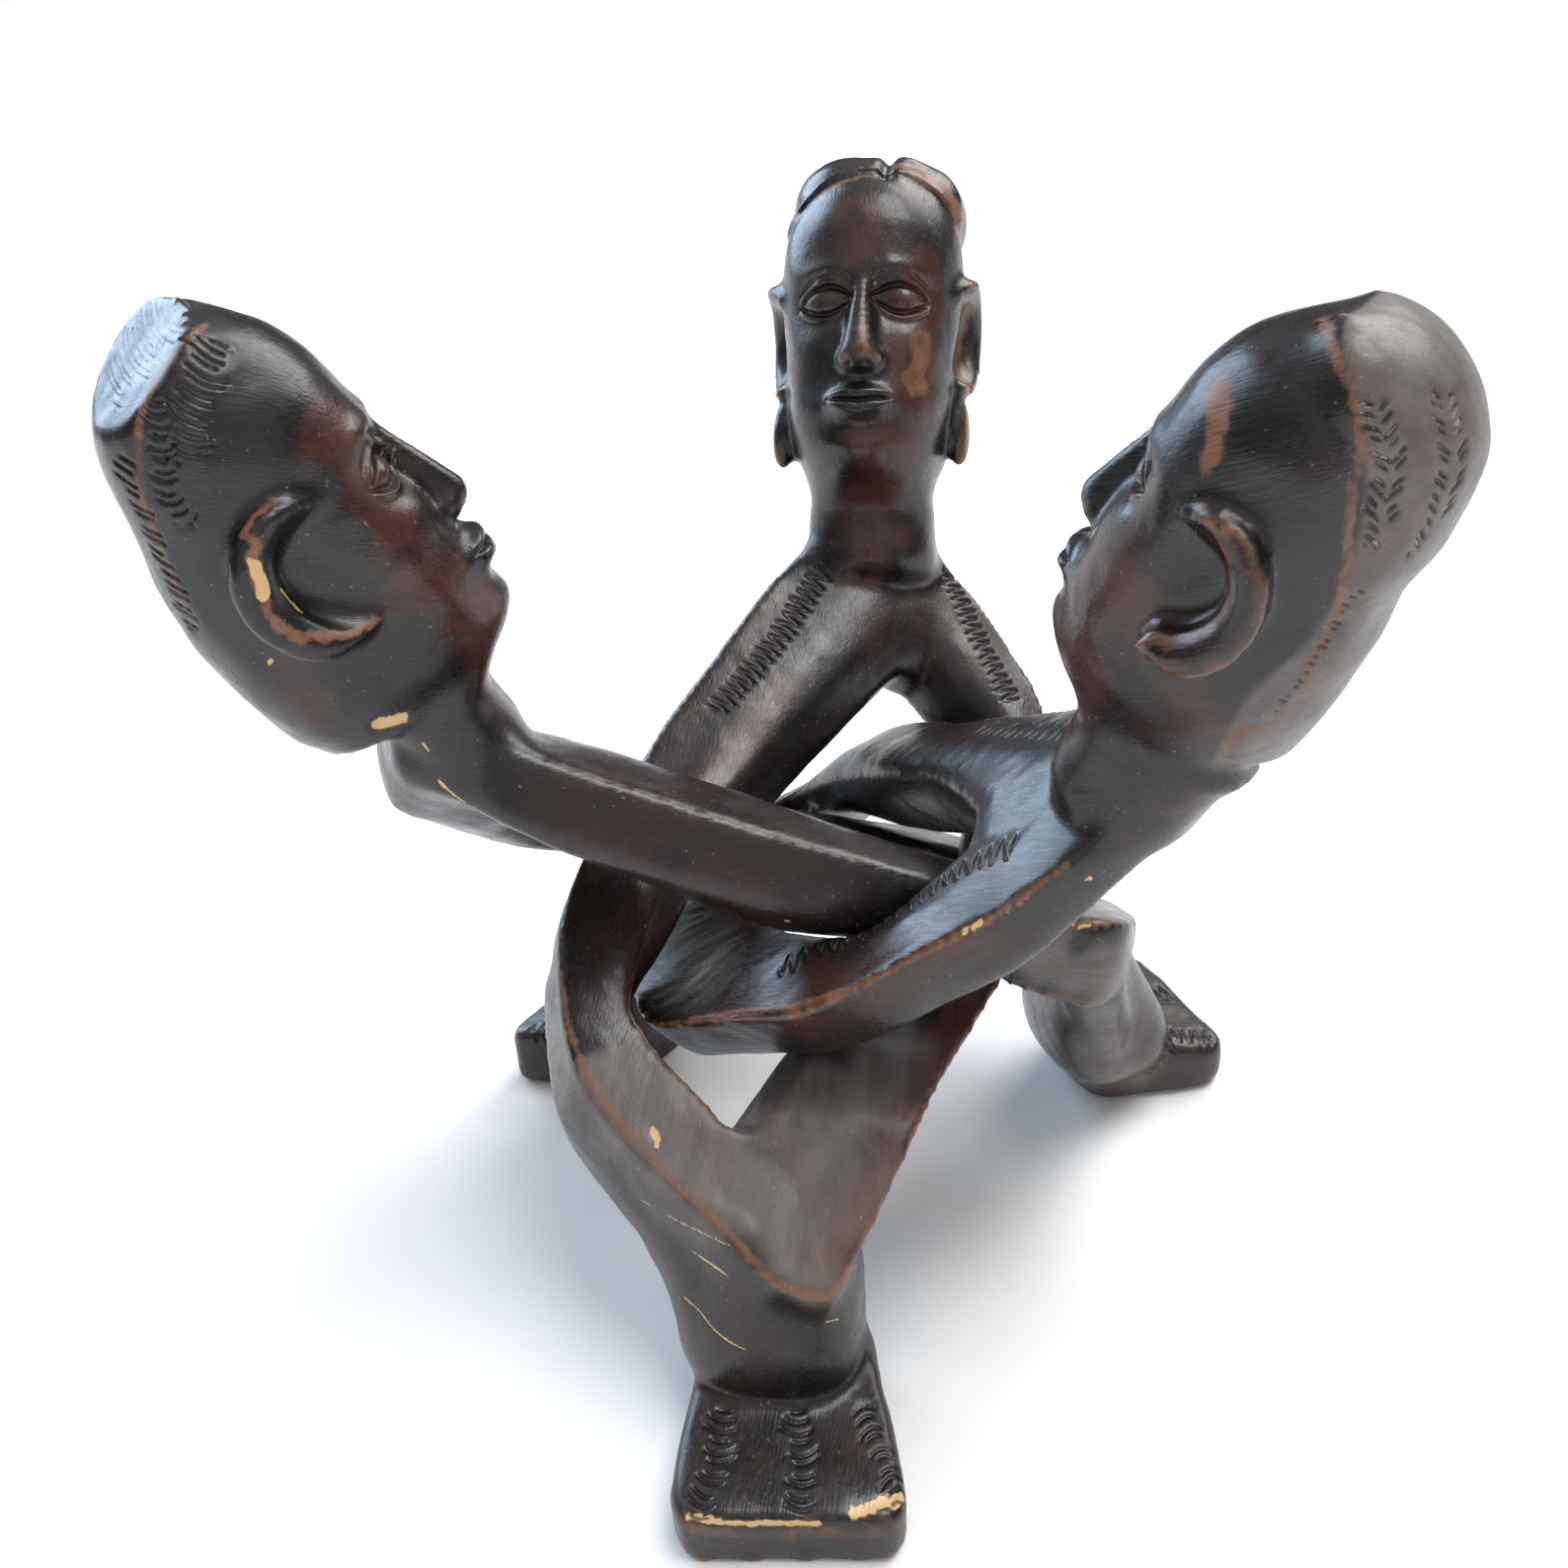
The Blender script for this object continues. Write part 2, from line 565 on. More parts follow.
@dataclass(frozen=True)
class Head:
    """Head and neck: egg-shaped sections along an upright that leans back from the face.

    Attributes:
        crown: How tall the crown is.
        hair: How the hair is carved.
        proud: How far the hair stands proud of the face.
        ear: Size of the ears.
        curl: Thickness of the ear's curl from its upper end to its lower.
        neck_trim: How much slimmer the neck is at the back.
        trim: How much flatter the back of the head is, from the jaw to the crown.
        grey: How dry and grey the hair is.
        centre: Where the head's middle is.
        lean: How far it leans back, in degrees.
        sections: Rows of height, front, back, half width, squareness.
        facet: Where a flat crown is cut off: the cut's outward direction and its distance.
        hairline: Where the hair begins, from the neck to the crown.
        face: Rows of side, height, half width, half height and depth of each swelling.
    """

    crown: float
    hair: Hair
    proud: float
    ear: float
    curl: Line = (0.35, 0.9, 1, 0.9, 0.35)
    neck_trim: float = 0
    trim: Line = (0, 0)
    trim_reach: Line = (-60, 50)
    grey: float = 0
    centre: Line = (-150, 0, 292)
    lean: float = 28
    sections: tuple[Line, ...] = (
        (-102, 3, -30, 21, 2.2),
        (-92, 13, -36, 27.5, 2.2),
        (-82, 12, -36, 26, 2.2),
        (-73, 13, -37, 25.5, 2.2),
        (-66, 20, -40, 24.5, 2.2),
        (-60, 28, -43, 25.5, 2.2),
        (-50, 33, -46, 29.5, 2.2),
        (-35, 34, -47, 33, 2.4),
        (-22, 34, -48, 34, 2.4),
        (-10, 34, -48, 35, 2.4),
        (4, 34, -46, 36, 2.4),
        (18, 35, -44, 36, 2.4),
        (32, 34, -40, 35, 2.3),
        (45, 30, -35, 32, 2.1),
        (56, 23, -27, 27, 2.0),
    )
    round_crown: Line = (65, 14, -16, 18, 2)
    facet: Line = (-0.22, -0.27, 0.937, 62)
    crown_height: float = 68
    hairline: Line = (-30, -28, -31, -28, -17, 14)
    hairline_reach: Line = (-50, 66)
    soft: float = 3
    face: tuple[Line, ...] = (
        (14, 2.5, 10, 8, -6),
        (13, 14, 12, 4, 2.6),
        (19, -15, 11, 11, 2),
        (0, -35, 16, 9, 3),
        (0, -55, 13, 8, 4),
    )

    @property
    def axes(self) -> Array:
        """Directions forward, to the left and up the head, as rows."""
        lean = math.radians(self.lean)
        forward = [math.cos(lean), 0, math.sin(lean)]
        return np.array([forward, [0, 1, 0], [-math.sin(lean), 0, math.cos(lean)]])

    def place(self, x: Array, y: Array, z: Array) -> Array:
        """Points in the figure from places forward, left and up in the head."""
        return np.stack(np.broadcast_arrays(x, y, z), axis=-1) @ self.axes + self.centre

    def read(self, points: Array) -> tuple[Array, Array, Array]:
        """Places forward, left and up in the head of points in the figure."""
        found = (points - self.centre) @ self.axes.T
        return found[..., 0], found[..., 1], found[..., 2]

    def relief(self, y: Array, z: Array) -> Array:
        """How far the face stands forward of the plain egg: a sum of bell curves."""
        total = np.zeros(np.broadcast(y, z).shape)
        for side, height, wide, tall, depth in self.face:
            off = np.abs(y) - side if side else y
            total = total + depth * np.exp(-((off / wide) ** 2) - ((z - height) / tall) ** 2)
        return total

    def line(self, height: Array) -> Array:
        """How far forward the hair begins at a height."""
        start, end = self.hairline_reach
        return through(self.hairline, (height - start) / (end - start))

    def surface(self) -> Array:
        """Head and neck as rounded sections, the front half with the face's swellings.

        A section's radius is a super circle's. Its points are set forward by the face's
        relief and outwards by the hair, which begins behind its line with a short step.

        Returns:
            Points as sections by places by three.
        """
        table = np.array([*self.sections, self.round_crown], float)
        height = np.concatenate([np.linspace(-102, 50, 130), np.linspace(51, 65, 16)])
        front, back, half, square = curve(table[:, 0], table[:, 1:].T, height)[..., None]
        height = height[:, None]
        back = back + self.neck_trim * ramp(-61, -65, height)
        low, high = self.trim_reach
        flat = through(self.trim, (height - low) / (high - low))
        back = back + flat * ramp(-64, -58, height)
        tall = np.where(height > 0, height * self.crown, height)
        even = np.linspace(0, 2 * np.pi, 150, endpoint=False)
        angle = even - 0.3 * np.sin(even)
        c, s = np.cos(angle), np.sin(angle)
        r = super_circle(c, s, square)
        x = r * c * (front - back) / 2 + (front + back) / 2
        line = self.line(height)
        out = self.proud * ramp(line, line - self.soft, x) * ramp(-56, -48, height)
        facing = ramp(0.1, 0.6, c) * ramp(-68, -58, height)
        y = r * s * half + s * out
        rise = out * ramp(30, 60, height)
        grid = np.stack([x + self.relief(y, height) * facing + c * out, y, tall + rise], axis=-1)
        top = np.array([-1, 0, self.crown_height * self.crown + self.proud])
        q = np.linspace(0, 0.96, 9)[1:, None, None]
        dome = grid[-1] * (1 - q) + top * q
        dome[..., 2] += ((np.sin(q * np.pi / 2) - q) * (top - grid[-1])[None, :, 2:])[..., 0]
        grid = np.concatenate([grid, dome])
        if self.hair is Hair.FLAT:
            *way, far = self.facet
            above = np.maximum(grid @ np.array(way) - far, 0)
            grid = grid - above[..., None] * np.array(way)
        return self.place(*np.moveaxis(grid, -1, 0))

    def pebble(self, at: Line, size: Line) -> Array:
        """Ball stretched to three half sizes, set into the head."""
        fall = np.linspace(0.06, np.pi - 0.06, 28)[:, None]
        turn = np.linspace(0, 2 * np.pi, 40, endpoint=False)
        x = at[0] + size[0] * np.sin(fall) * np.cos(turn)
        y = at[1] + size[1] * np.sin(fall) * np.sin(turn)
        return self.place(x, y, at[2] + size[2] * np.cos(fall))

    def nose(self) -> Array:
        """The nose: D-shaped sections that widen and stand further out downwards."""
        t = np.linspace(0, 1, 40)[:, None]
        z = 13 - 38 * t
        front = 35.5 + 13 * t - 8 * (np.maximum(t - 0.76, 0) / 0.24) ** 2.4
        half = 3.4 + 3.8 * t**1.6
        turn = np.linspace(0, 2 * np.pi, 48, endpoint=False)
        c, s = np.cos(turn), np.sin(turn)
        flank = front - half
        x = np.where(c > 0, flank + half * np.abs(c) ** 0.8, flank + (flank - 26) * c)
        y = half * (1 + 0.5 * np.maximum(-c, 0)) * np.sign(s) * np.abs(s) ** 0.85
        return self.place(x, y, z + 0 * c)

    def ear_curl(self, side: int) -> Array:
        """One ear: a round curl of wood open towards the face, thinning at its ends."""
        t = np.linspace(0, 1, 70)[:, None]
        turn = np.radians(38 + 240 * t)
        thin = through(self.curl, t)
        wood = 5.4 * thin
        x = 1 + 16.5 * self.ear * np.cos(turn)
        z = -5 + 18.5 * self.ear * np.sin(turn)
        y = 34 + 4 * thin - np.maximum(0, x - 6) * 0.35
        a = np.linspace(0, 2 * np.pi, 24, endpoint=False)
        out = wood * np.cos(a)
        return self.place(
            x + out * np.cos(turn),
            side * (y + wood * (np.sin(a) + 0.45 * np.cos(a))),
            z + out * np.sin(turn),
        )

    def detail(self, x: Array, y: Array, z: Array, level: int) -> Array:
        """Which points of the head need a finer skin.

        Args:
            x: Places forward in the head.
            y: Places to the left.
            z: Places upwards.
            level: 1 for the whole face and the ears, 2 for the eyes, nostrils and lips.

        Returns:
            True for each point that does.
        """
        side = np.abs(y)
        if level == 1:
            face = (x > 14) & (z > -62) & (z < 34)
            hair = (self.hair is Hair.LOBED) & (z > 42)
            return face | hair | ((side > 30) & (np.hypot(x, z + 5) < 25))
        eyes = (x > 20) & (np.abs(side - 14.5) < 12) & (np.abs(z - 3) < 9)
        lips = (x > 28) & (side < 15) & (z > -44) & (z < -22)
        return eyes | lips

    def carving(self, x: Array, y: Array, z: Array, ways: Array) -> Array:
        """How far the head's fine carving stands out of the skin: a sum of bell curves.

        The eye is an almond, |z| = a(1 - y^2) about its middle, with a cut along its rim, a
        raised lid outside and a crease above. The lips are two ridges that thin towards the
        mouth's corners as the root of 1 - y^2 does, and meet in a cut. Each nostril and each
        ear's bowl is a hollow.

        Args:
            x: Places forward in the head.
            y: Places to the left.
            z: Places upwards.
            ways: Outward directions in the head.

        Returns:
            One height for each point.
        """
        side = np.abs(y)
        off = (side - 14.3) / 10.2
        rim = np.abs(z - 3.2 + 0.9 * off) - 4.9 * np.maximum(1 - off**2, 0)
        eye = ramp(1.12, 0.86, np.abs(off)) * ramp(16, 20, x)
        lids = 0.9 * bump(rim - 2.2, 1.2) - 1.7 * bump(rim - 0.2, 0.85)
        lids = lids - 0.9 * bump(rim - 4.8, 1.1) * ramp(2, 5, z)
        total = eye * lids
        ahead = ramp(28, 33, x) * ramp(-0.2, 0.3, ways[:, 0])
        meet = z + 36 - 0.8 * (side / 12) ** 2 + 0.5 * bump(side, 3)
        full = np.sqrt(np.maximum(1 - (side / 12.5) ** 2, 0))
        upper = 1.5 * full * bump(meet - 2.7 * full, 1.7 * full + 0.4)
        lower = 2 * full * bump(meet + 3.2 * full, 2.1 * full + 0.4)
        total = total + ahead * (upper + lower - 1.7 * bump(meet, 0.8) * ramp(14, 11, side))
        total = total - ahead * 0.7 * bump(y, 1.7) * bump(z + 28.5, 2.6)
        holes = bump(np.hypot(x - 42.5, side - 4.2), 1.9) * bump(z + 24.6, 1.8)
        total = total - 2.2 * holes
        bowl = np.hypot((x - 1) / 12.5, (z + 5 + 0.2 * x) / 14) / self.ear
        hollow = 3 * np.exp(-(bowl**4)) * ramp(9, -8, x + 0.35 * z)
        total = total - hollow * ramp(29, 31, side) * ramp(41, 37, side)
        if self.hair is Hair.LOBED:
            edge = 56 - 0.016 * (y - 2) ** 2
            total = total + 1.7 * ramp(edge - 0.8, edge + 0.8, z) * ramp(-2, 3, x)
            total = total - 3.2 * bump(y - 6.5, 2.6) * ramp(50, 56, z)
        return total

    def parts(self) -> list[Array]:
        """Every closed surface of the head."""
        made = [self.surface(), self.nose(), self.ear_curl(1), self.ear_curl(-1)]
        pebbles = [
            ((25.5, 14, 3), (7, 9, 6)),
            ((25.5, -14, 3), (7, 9, 6)),
            ((37, 5.6, -20.3), (5.2, 3.6, 3.8)),
            ((37, -5.6, -20.3), (5.2, 3.6, 3.8)),
            ((33.5, 0, -36), (6.5, 14, 8)),
        ]
        if self.hair is Hair.LOBED:
            pebbles += [((-5, -9, 48), (26, 22, 18.5)), ((-10, 18, 44), (25, 18, 20))]
            pebbles += [((-1, side * 35.5, -41), (7, 4.5, 14)) for side in (-1, 1)]
        return made + [self.pebble(at, size) for at, size in pebbles]


class Frame(Enum):
    """What the numbers of a mark's path are measured in."""

    PLANK = "along and across the front of the body"
    HEAD = "forward, left and up in the head"
    FIGURE = "forward, left and up in the figure"


class Stroke(Enum):
    """How a mark was made."""

    ZIGZAG = "one groove that runs to and fro across the line"
    TICKS = "short grooves across the line"
    SCRATCH = "one thin groove along the line"
    PATCH = "soft-edged spot or band along the line"


class Tint(Enum):
    """What a mark shows besides its depth. The value names the attribute that carries it."""

    CUT = "cut"
    WORN = "worn"
    BARE = "bare"
    MATT = "matt"
    RED = "red"
    PALE = "pale"


@dataclass(frozen=True)
class Mark:
    """One gouged row, scratch, chip or rubbed place, along a line on the wood.

    Attributes:
        stroke: How it was made.
        frame: What its path is measured in.
        path: Points that the line runs through.
        tint: What it shows.
        half: Half its width.
        pitch: Distance from one groove to the next.
        depth: Depth of the groove.
        width: Half width of one groove.
        lean: How far a groove slants, as a share of its length.
        arch: How far a groove's middle is pushed along the line.
        strength: How strongly the tint shows.
    """

    stroke: Stroke
    frame: Frame
    path: tuple[Line, ...]
    tint: Tint = Tint.CUT
    half: float = 5
    pitch: float = 5.2
    depth: float = 0.9
    width: float = 0.6
    lean: float = 0
    arch: float = 0
    strength: float = 1

    def line(self, figure: "Figure") -> Array:
        """The path as closely spaced points in the figure, on a smooth curve through it."""
        path = np.array(self.path, float)
        if self.frame is Frame.PLANK:
            u, v = path.T
            path = figure.plank.place(u, v, figure.plank.outline.front(u, v))
        if self.frame is Frame.HEAD:
            path = figure.head.place(*path.T)
        if len(path) == 1:
            return np.concatenate([path, path + [0.01, 0, 0]])
        knots = np.arange(len(path))
        return curve(knots, path.T, np.linspace(0, knots[-1], 8 * len(path))).T

    def measure(self, line: Array, points: Array, normals: Array) -> Array:
        """Reads points against the line's nearest stretch.

        Args:
            line: Points of the line.
            points: Points of the skin.
            normals: Their outward directions.

        Returns:
            Rows of distance along the line, across it on the surface, out of the surface,
            past the line's ends, and straight to the line.
        """
        way = np.diff(line, axis=0)
        length = np.linalg.norm(way, axis=1)
        way = way / length[:, None]
        reach = np.concatenate([[0], np.cumsum(length)])
        off = points[:, None] - line[:-1]
        run = np.clip((off * way).sum(-1), 0, length)
        gap = off - run[..., None] * way
        best = np.argmin((gap**2).sum(-1), axis=1)
        pick = (np.arange(len(points)), best)
        gap = gap[pick]
        across = np.cross(normals, way[best])
        across /= np.maximum(np.linalg.norm(across, axis=1, keepdims=True), 1e-6)
        past = np.abs((gap * way[best]).sum(-1))
        return np.stack(
            [
                reach[best] + run[pick],
                (gap * across).sum(-1),
                np.abs((gap * normals).sum(-1)),
                past,
                np.linalg.norm(gap, axis=1),
            ]
        )

    def press(self, read: Array, points: Array, widen: float = 1) -> Array:
        """How deep the mark is at each point, from 0 to 1.

        A groove's depth is a bell curve of the distance to its middle line. The zigzag's
        line is a triangle wave, and a tick's is straight, slanted or arched.

        Args:
            read: Rows from measure.
            points: Points of the skin.
            widen: Factor on the grooves' width.

        Returns:
            One value for each point.
        """
        s, w, lift, past, far = read
        width = self.width * widen
        on = ramp(6, 3.5, lift)
        if self.stroke is Stroke.PATCH:
            return ramp(1.5, 0.3, far / self.half + 0.25 * ripple(points, 1.6 * self.half, 5))
        if self.stroke is Stroke.SCRATCH:
            broken = ramp(-0.9, 0.1, ripple(points, 16, 3)) if widen == 1 else 1
            return on * bump(w + 0.5 * ripple(points, 14, 4), width) * ramp(1, 0, past) * broken
        high = self.half * (1 + 0.1 * np.sin(1.9 * s / self.pitch))
        if self.stroke is Stroke.ZIGZAG:
            turn = s / self.pitch + 0.09 * np.sin(2.3 * s / self.pitch + 1)
            wave = 1 - 4 * np.abs(turn - np.floor(turn) - 0.5)
            off = np.abs(w - high * wave) / math.hypot(1, 4 * self.half / self.pitch)
            inside = ramp(high + 1 + widen, high - 0.4, np.abs(w))
            return on * bump(off, width) * inside * (0.75 + 0.25 * w / high) * ramp(1, 0, past)
        place = (s - self.lean * w + self.arch * (w / self.half) ** 2) / self.pitch
        number = np.round(place)
        off = np.abs(place - number + 0.16 * np.sin(9.1 * number)) * self.pitch
        off = off / math.hypot(1, self.lean)
        drift = 0.25 * high * np.sin(5.3 * number)
        long = high * (1 + 0.2 * np.sin(3.7 * number))
        inside = ramp(long + widen - 1, long - 1.4, np.abs(w - drift))
        return on * bump(off, width) * inside * ramp(2, 0, past)


@dataclass(frozen=True)
class SkinMesh:
    """A mesh as arrays, with the sums over its edges that smoothing and wear need.

    Attributes:
        mesh: The mesh.
    """

    mesh: bpy.types.Mesh

    def points(self) -> Array:
        """Places of the mesh's points, in millimetres."""
        flat = np.empty(len(self.mesh.vertices) * 3)
        self.mesh.vertices.foreach_get("co", flat)
        return flat.reshape(-1, 3) / MILLIMETRE

    def put(self, points: Array) -> None:
        """Moves the mesh's points to places in millimetres."""
        self.mesh.vertices.foreach_set("co", (points * MILLIMETRE).ravel())
        self.mesh.update()

    def normals(self) -> Array:
        """Outward direction at each point."""
        flat = np.empty(len(self.mesh.vertices) * 3)
        self.mesh.vertices.foreach_get("normal", flat)
        return flat.reshape(-1, 3)

    def edges(self) -> Array:
        """Point numbers at the two ends of each edge."""
        flat = np.empty(len(self.mesh.edges) * 2, dtype=np.int32)
        self.mesh.edges.foreach_get("vertices", flat)
        return flat.reshape(-1, 2)

    def around(self, values: Array) -> Array:
        """Mean of the neighbours' values at each point."""
        a, b = self.edges().T
        count = len(self.mesh.vertices)
        ends, others = np.concatenate([a, b]), np.concatenate([b, a])
        degree = np.maximum(np.bincount(ends, minlength=count), 1)
        columns = values.reshape(count, -1).T
        sums = [np.bincount(ends, weights=c[others], minlength=count) / degree for c in columns]
        return np.stack(sums, axis=-1).reshape(values.shape)

    def smooth(self, rounds: int, share: float | Array = 0.5) -> None:
        """Moves each point towards the mean of its neighbours, several times."""
        places = self.points()
        for _ in range(rounds):
            places = places + share * (self.around(places) - places)
        self.put(places)

    def refine(self, chosen: Array) -> None:
        """Halves the edges whose two ends are chosen, and eases the new points."""
        a, b = self.edges().T
        picked = np.flatnonzero(chosen[a] & chosen[b])
        old = len(self.mesh.vertices)
        work = bmesh.new()
        work.from_mesh(self.mesh)
        work.edges.ensure_lookup_table()
        bmesh.ops.subdivide_edges(
            work, edges=[work.edges[i] for i in picked], cuts=1, use_grid_fill=True
        )
        work.to_mesh(self.mesh)
        work.free()
        fresh = np.zeros(len(self.mesh.vertices))
        fresh[old:] = 1
        near = np.clip(self.around(fresh) * 1.5 + fresh, 0, 1)
        self.smooth(2, 0.5 * near[:, None])

    def bend(self) -> Array:
        """How far each point stands out of its neighbours, over the edges' length."""
        places = self.points()
        lift = ((places - self.around(places)) * self.normals()).sum(-1)
        a, b = self.edges().T
        length = np.linalg.norm(places[a] - places[b], axis=1)
        count = len(places)
        total = np.bincount(a, weights=length, minlength=count)
        total += np.bincount(b, weights=length, minlength=count)
        degree = np.bincount(a, minlength=count) + np.bincount(b, minlength=count)
        mean = total / np.maximum(degree, 1)
        return lift / np.maximum(mean, 1e-6) ** 2

    def keep(self, name: str, values: Array) -> None:
        """Stores one value for each point as an attribute."""
        made = self.mesh.attributes.get(name)
        made = made or self.mesh.attributes.new(name, "FLOAT", "POINT")
        made.data.foreach_set("value", values.astype(np.float32))

    def kept(self, name: str) -> Array:
        """Values of an attribute, one for each point."""
        values = np.zeros(len(self.mesh.vertices), dtype=np.float32)
        self.mesh.attributes[name].data.foreach_get("value", values)
        return values.astype(float)


@dataclass
class Figure:
    """One interlocking figure: where it stands, its form and its carving.

    Attributes:
        name: Name of the CAD node that it stands for.
        turn: Which way its foot points, in degrees.
        shift: Where its own middle is.
        plank: Its body.
        head: Its head.
        leg: Its leg and foot.
        marks: Its gouged rows, scratches, chips and rubbed places.
        voxel: Grain of the skin that joins its shells.
        wear: How strongly its edges are worn.
        ease: How much the edges of its body are rounded, from 0 to 1.
    """

    name: str
    turn: float
    shift: Line
    plank: Plank
    head: Head
    leg: Leg
    marks: tuple[Mark, ...] = ()
    voxel: float = 2
    wear: float = 1
    ease: float = 0

    def world(self) -> Matrix:
        """Place of the figure's own directions in the stand, in metres."""
        x, y = ((s - m) * MILLIMETRE for s, m in zip(self.shift, MIDDLE))
        return Matrix.Translation((x, y, 0)) @ Matrix.Rotation(math.radians(self.turn), 4, "Z")

    def skin(self) -> SkinMesh:
        """All shells grown into one closed skin, still in the figure's own directions."""
        shells = Skin()
        shells.add_grid(self.plank.surface(), loop=True)
        leg = [self.leg.column(self.plank), self.leg.wall(self.plank), self.leg.foot()]
        for part in [*self.head.parts(), *leg]:
            shells.add_grid(part)
        raw = bpy.data.objects.new("shells", shells.mesh("shells"))
        bpy.context.scene.collection.objects.link(raw)
        grown = raw.modifiers.new("grow", "REMESH")
        grown.mode = "VOXEL"
        grown.voxel_size = self.voxel * MILLIMETRE
        ready = raw.evaluated_get(bpy.context.evaluated_depsgraph_get())
        mesh = bpy.data.meshes.new_from_object(ready)
        bpy.data.objects.remove(raw)
        return SkinMesh(mesh)

    def stroke(self, skin: SkinMesh, mark: Mark, widen: float = 1) -> tuple[Array, Array]:
        """Points that a mark touches, and how deep it is there.

        Args:
            skin: The skin.
            mark: The mark.
            widen: Factor on the grooves' width.

        Returns:
            Point numbers, and a value from 0 to 1 for each.
        """
        line = mark.line(self)
        points = skin.points()
        margin = mark.half * 1.6 + 7
        low, high = line.min(axis=0) - margin, line.max(axis=0) + margin
        near = np.flatnonzero(((points > low) & (points < high)).all(axis=1))
        chosen, ways = points[near], skin.normals()[near]
        best = np.argmin(((line[:, None] - chosen) ** 2).sum(axis=-1), axis=1)
        gap = ((chosen[best] - line) * ways[best]).sum(axis=-1, keepdims=True)
        line = line + gap * ways[best]
        read = mark.measure(line, chosen, ways)
        return near, mark.press(read, chosen, widen)

    def round_tip(self, skin: SkinMesh) -> None:
        """Rounds the leaf-shaped end of the body above the ankle, and the foot of the neck."""
        points = skin.points()
        along = self.plank.read(points)[0]
        end = self.plank.outline.reach[1]
        near = ramp(end - 26, end - 8, along) * ramp(38, 46, points[:, 2])
        x, y, z = self.head.read(points)
        neck = bump(z + 90, 12) * ramp(44, 34, np.hypot(x + 10, y))
        crown = ramp(44, 52, z) * (self.head.hair is Hair.ROUND)
        body = self.ease * ramp(-80, -92, z)
        parts = np.maximum(np.maximum(near, neck), np.maximum(crown, body))
        skin.smooth(24, 0.5 * parts[:, None])

    def sharpen(self, skin: SkinMesh) -> None:
        """Refines the skin where the carving is fine: the face once, the grooves twice."""
        points = skin.points()
        fine = self.head.detail(*self.head.read(points), 1)
        for mark in self.marks:
            if mark.stroke is not Stroke.PATCH and mark.depth > 0:
                near, press = self.stroke(skin, mark, 4.5)
                fine[near[press > 0.05]] = True
        skin.refine(fine)
        fine = self.head.detail(*self.head.read(skin.points()), 2)
        for mark in self.marks:
            if mark.stroke is not Stroke.PATCH and mark.depth > 0:
                near, press = self.stroke(skin, mark, 2.2)
                fine[near[press > 0.1]] = True
        skin.refine(fine)

    def carve(self, skin: SkinMesh) -> None:
        """Carves the head, the marks and the gentle unevenness of handwork."""
        points, ways = skin.points(), skin.normals()
        rise = 0.22 * ripple(points, 26, 1) + 0.07 * ripple(points, 9, 2)
        rise = rise + self.head.carving(*self.head.read(points), ways @ self.head.axes.T)
        tints = {tint: np.zeros(len(points)) for tint in Tint}
        tints[Tint.WORN] = skin.kept("worn")
        x, y, z = self.head.read(points)
        line = self.head.line(z)
        hair = ramp(line + 3, line - 1, x) * ramp(-62, -52, z)
        tints[Tint.MATT] = self.head.grey * hair
        for mark in self.marks:
            near, press = self.stroke(skin, mark)
            rise[near] -= mark.depth * press
            shown = tints[mark.tint]
            shown[near] = np.maximum(shown[near], mark.strength * press)
        skin.put(points + ways * rise[:, None])
        for tint, values in tints.items():
            skin.keep(tint.value, np.clip(values, 0, 1))

    def build(self, finish: "WaxedWood") -> bpy.types.Object:
        """Builds the figure's piece.

        Args:
            finish: The wood.

        Returns:
            The object, standing in for the CAD node.
        """
        skin = self.skin()
        skin.smooth(2)
        self.round_tip(skin)
        skin.keep("worn", np.clip(skin.around(skin.bend()) * 9 - 0.12, 0, 1) * self.wear)
        self.sharpen(skin)
        self.carve(skin)
        mesh = skin.mesh
        mesh.name = f"{self.name}_wood"
        mesh.transform(self.world())
        mesh.polygons.foreach_set("use_smooth", np.ones(len(mesh.polygons), dtype=bool))
        mesh.materials.append(finish.material(self.name, self.world(), self.plank))
        piece = bpy.data.objects.new(f"{self.name}_wood", mesh)
        bpy.context.scene.collection.objects.link(piece)
        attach(piece, "root")
        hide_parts(self.name)
        return piece


def zigzag(frame: Frame, *path: Line, half: float = 5, pitch: float = 5.2) -> Mark:
    """A gouged zigzag row."""
    return Mark(Stroke.ZIGZAG, frame, path, half=half, pitch=pitch, depth=1.2, width=0.62)


def ticks(frame: Frame, *path: Line, half: float, pitch: float, **more: float) -> Mark:
    """A row of short gouged ticks."""
    return Mark(Stroke.TICKS, frame, path, half=half, pitch=pitch, **more)


def rubbed(frame: Frame, *path: Line, half: float = 2, strength: float = 0.9) -> Mark:
    """A place worn to orange."""
    return Mark(Stroke.PATCH, frame, path, Tint.WORN, half=half, depth=0, strength=strength)


def chip(frame: Frame, *path: Line, half: float = 1.5, depth: float = 0.5) -> Mark:
    """A chip down to the bare wood."""
    return Mark(Stroke.PATCH, frame, path, Tint.BARE, half=half, depth=depth)


def scratch(frame: Frame, *path: Line, width: float = 0.3) -> Mark:
    """A thin pale scratch."""
    return Mark(Stroke.SCRATCH, frame, path, Tint.BARE, half=2, depth=0.2, width=width)


def stain(tint: Tint, frame: Frame, *path: Line, half: float, strength: float) -> Mark:
    """A broad soft patch of another colour."""
    return Mark(Stroke.PATCH, frame, path, tint, half=half, depth=0, strength=strength)


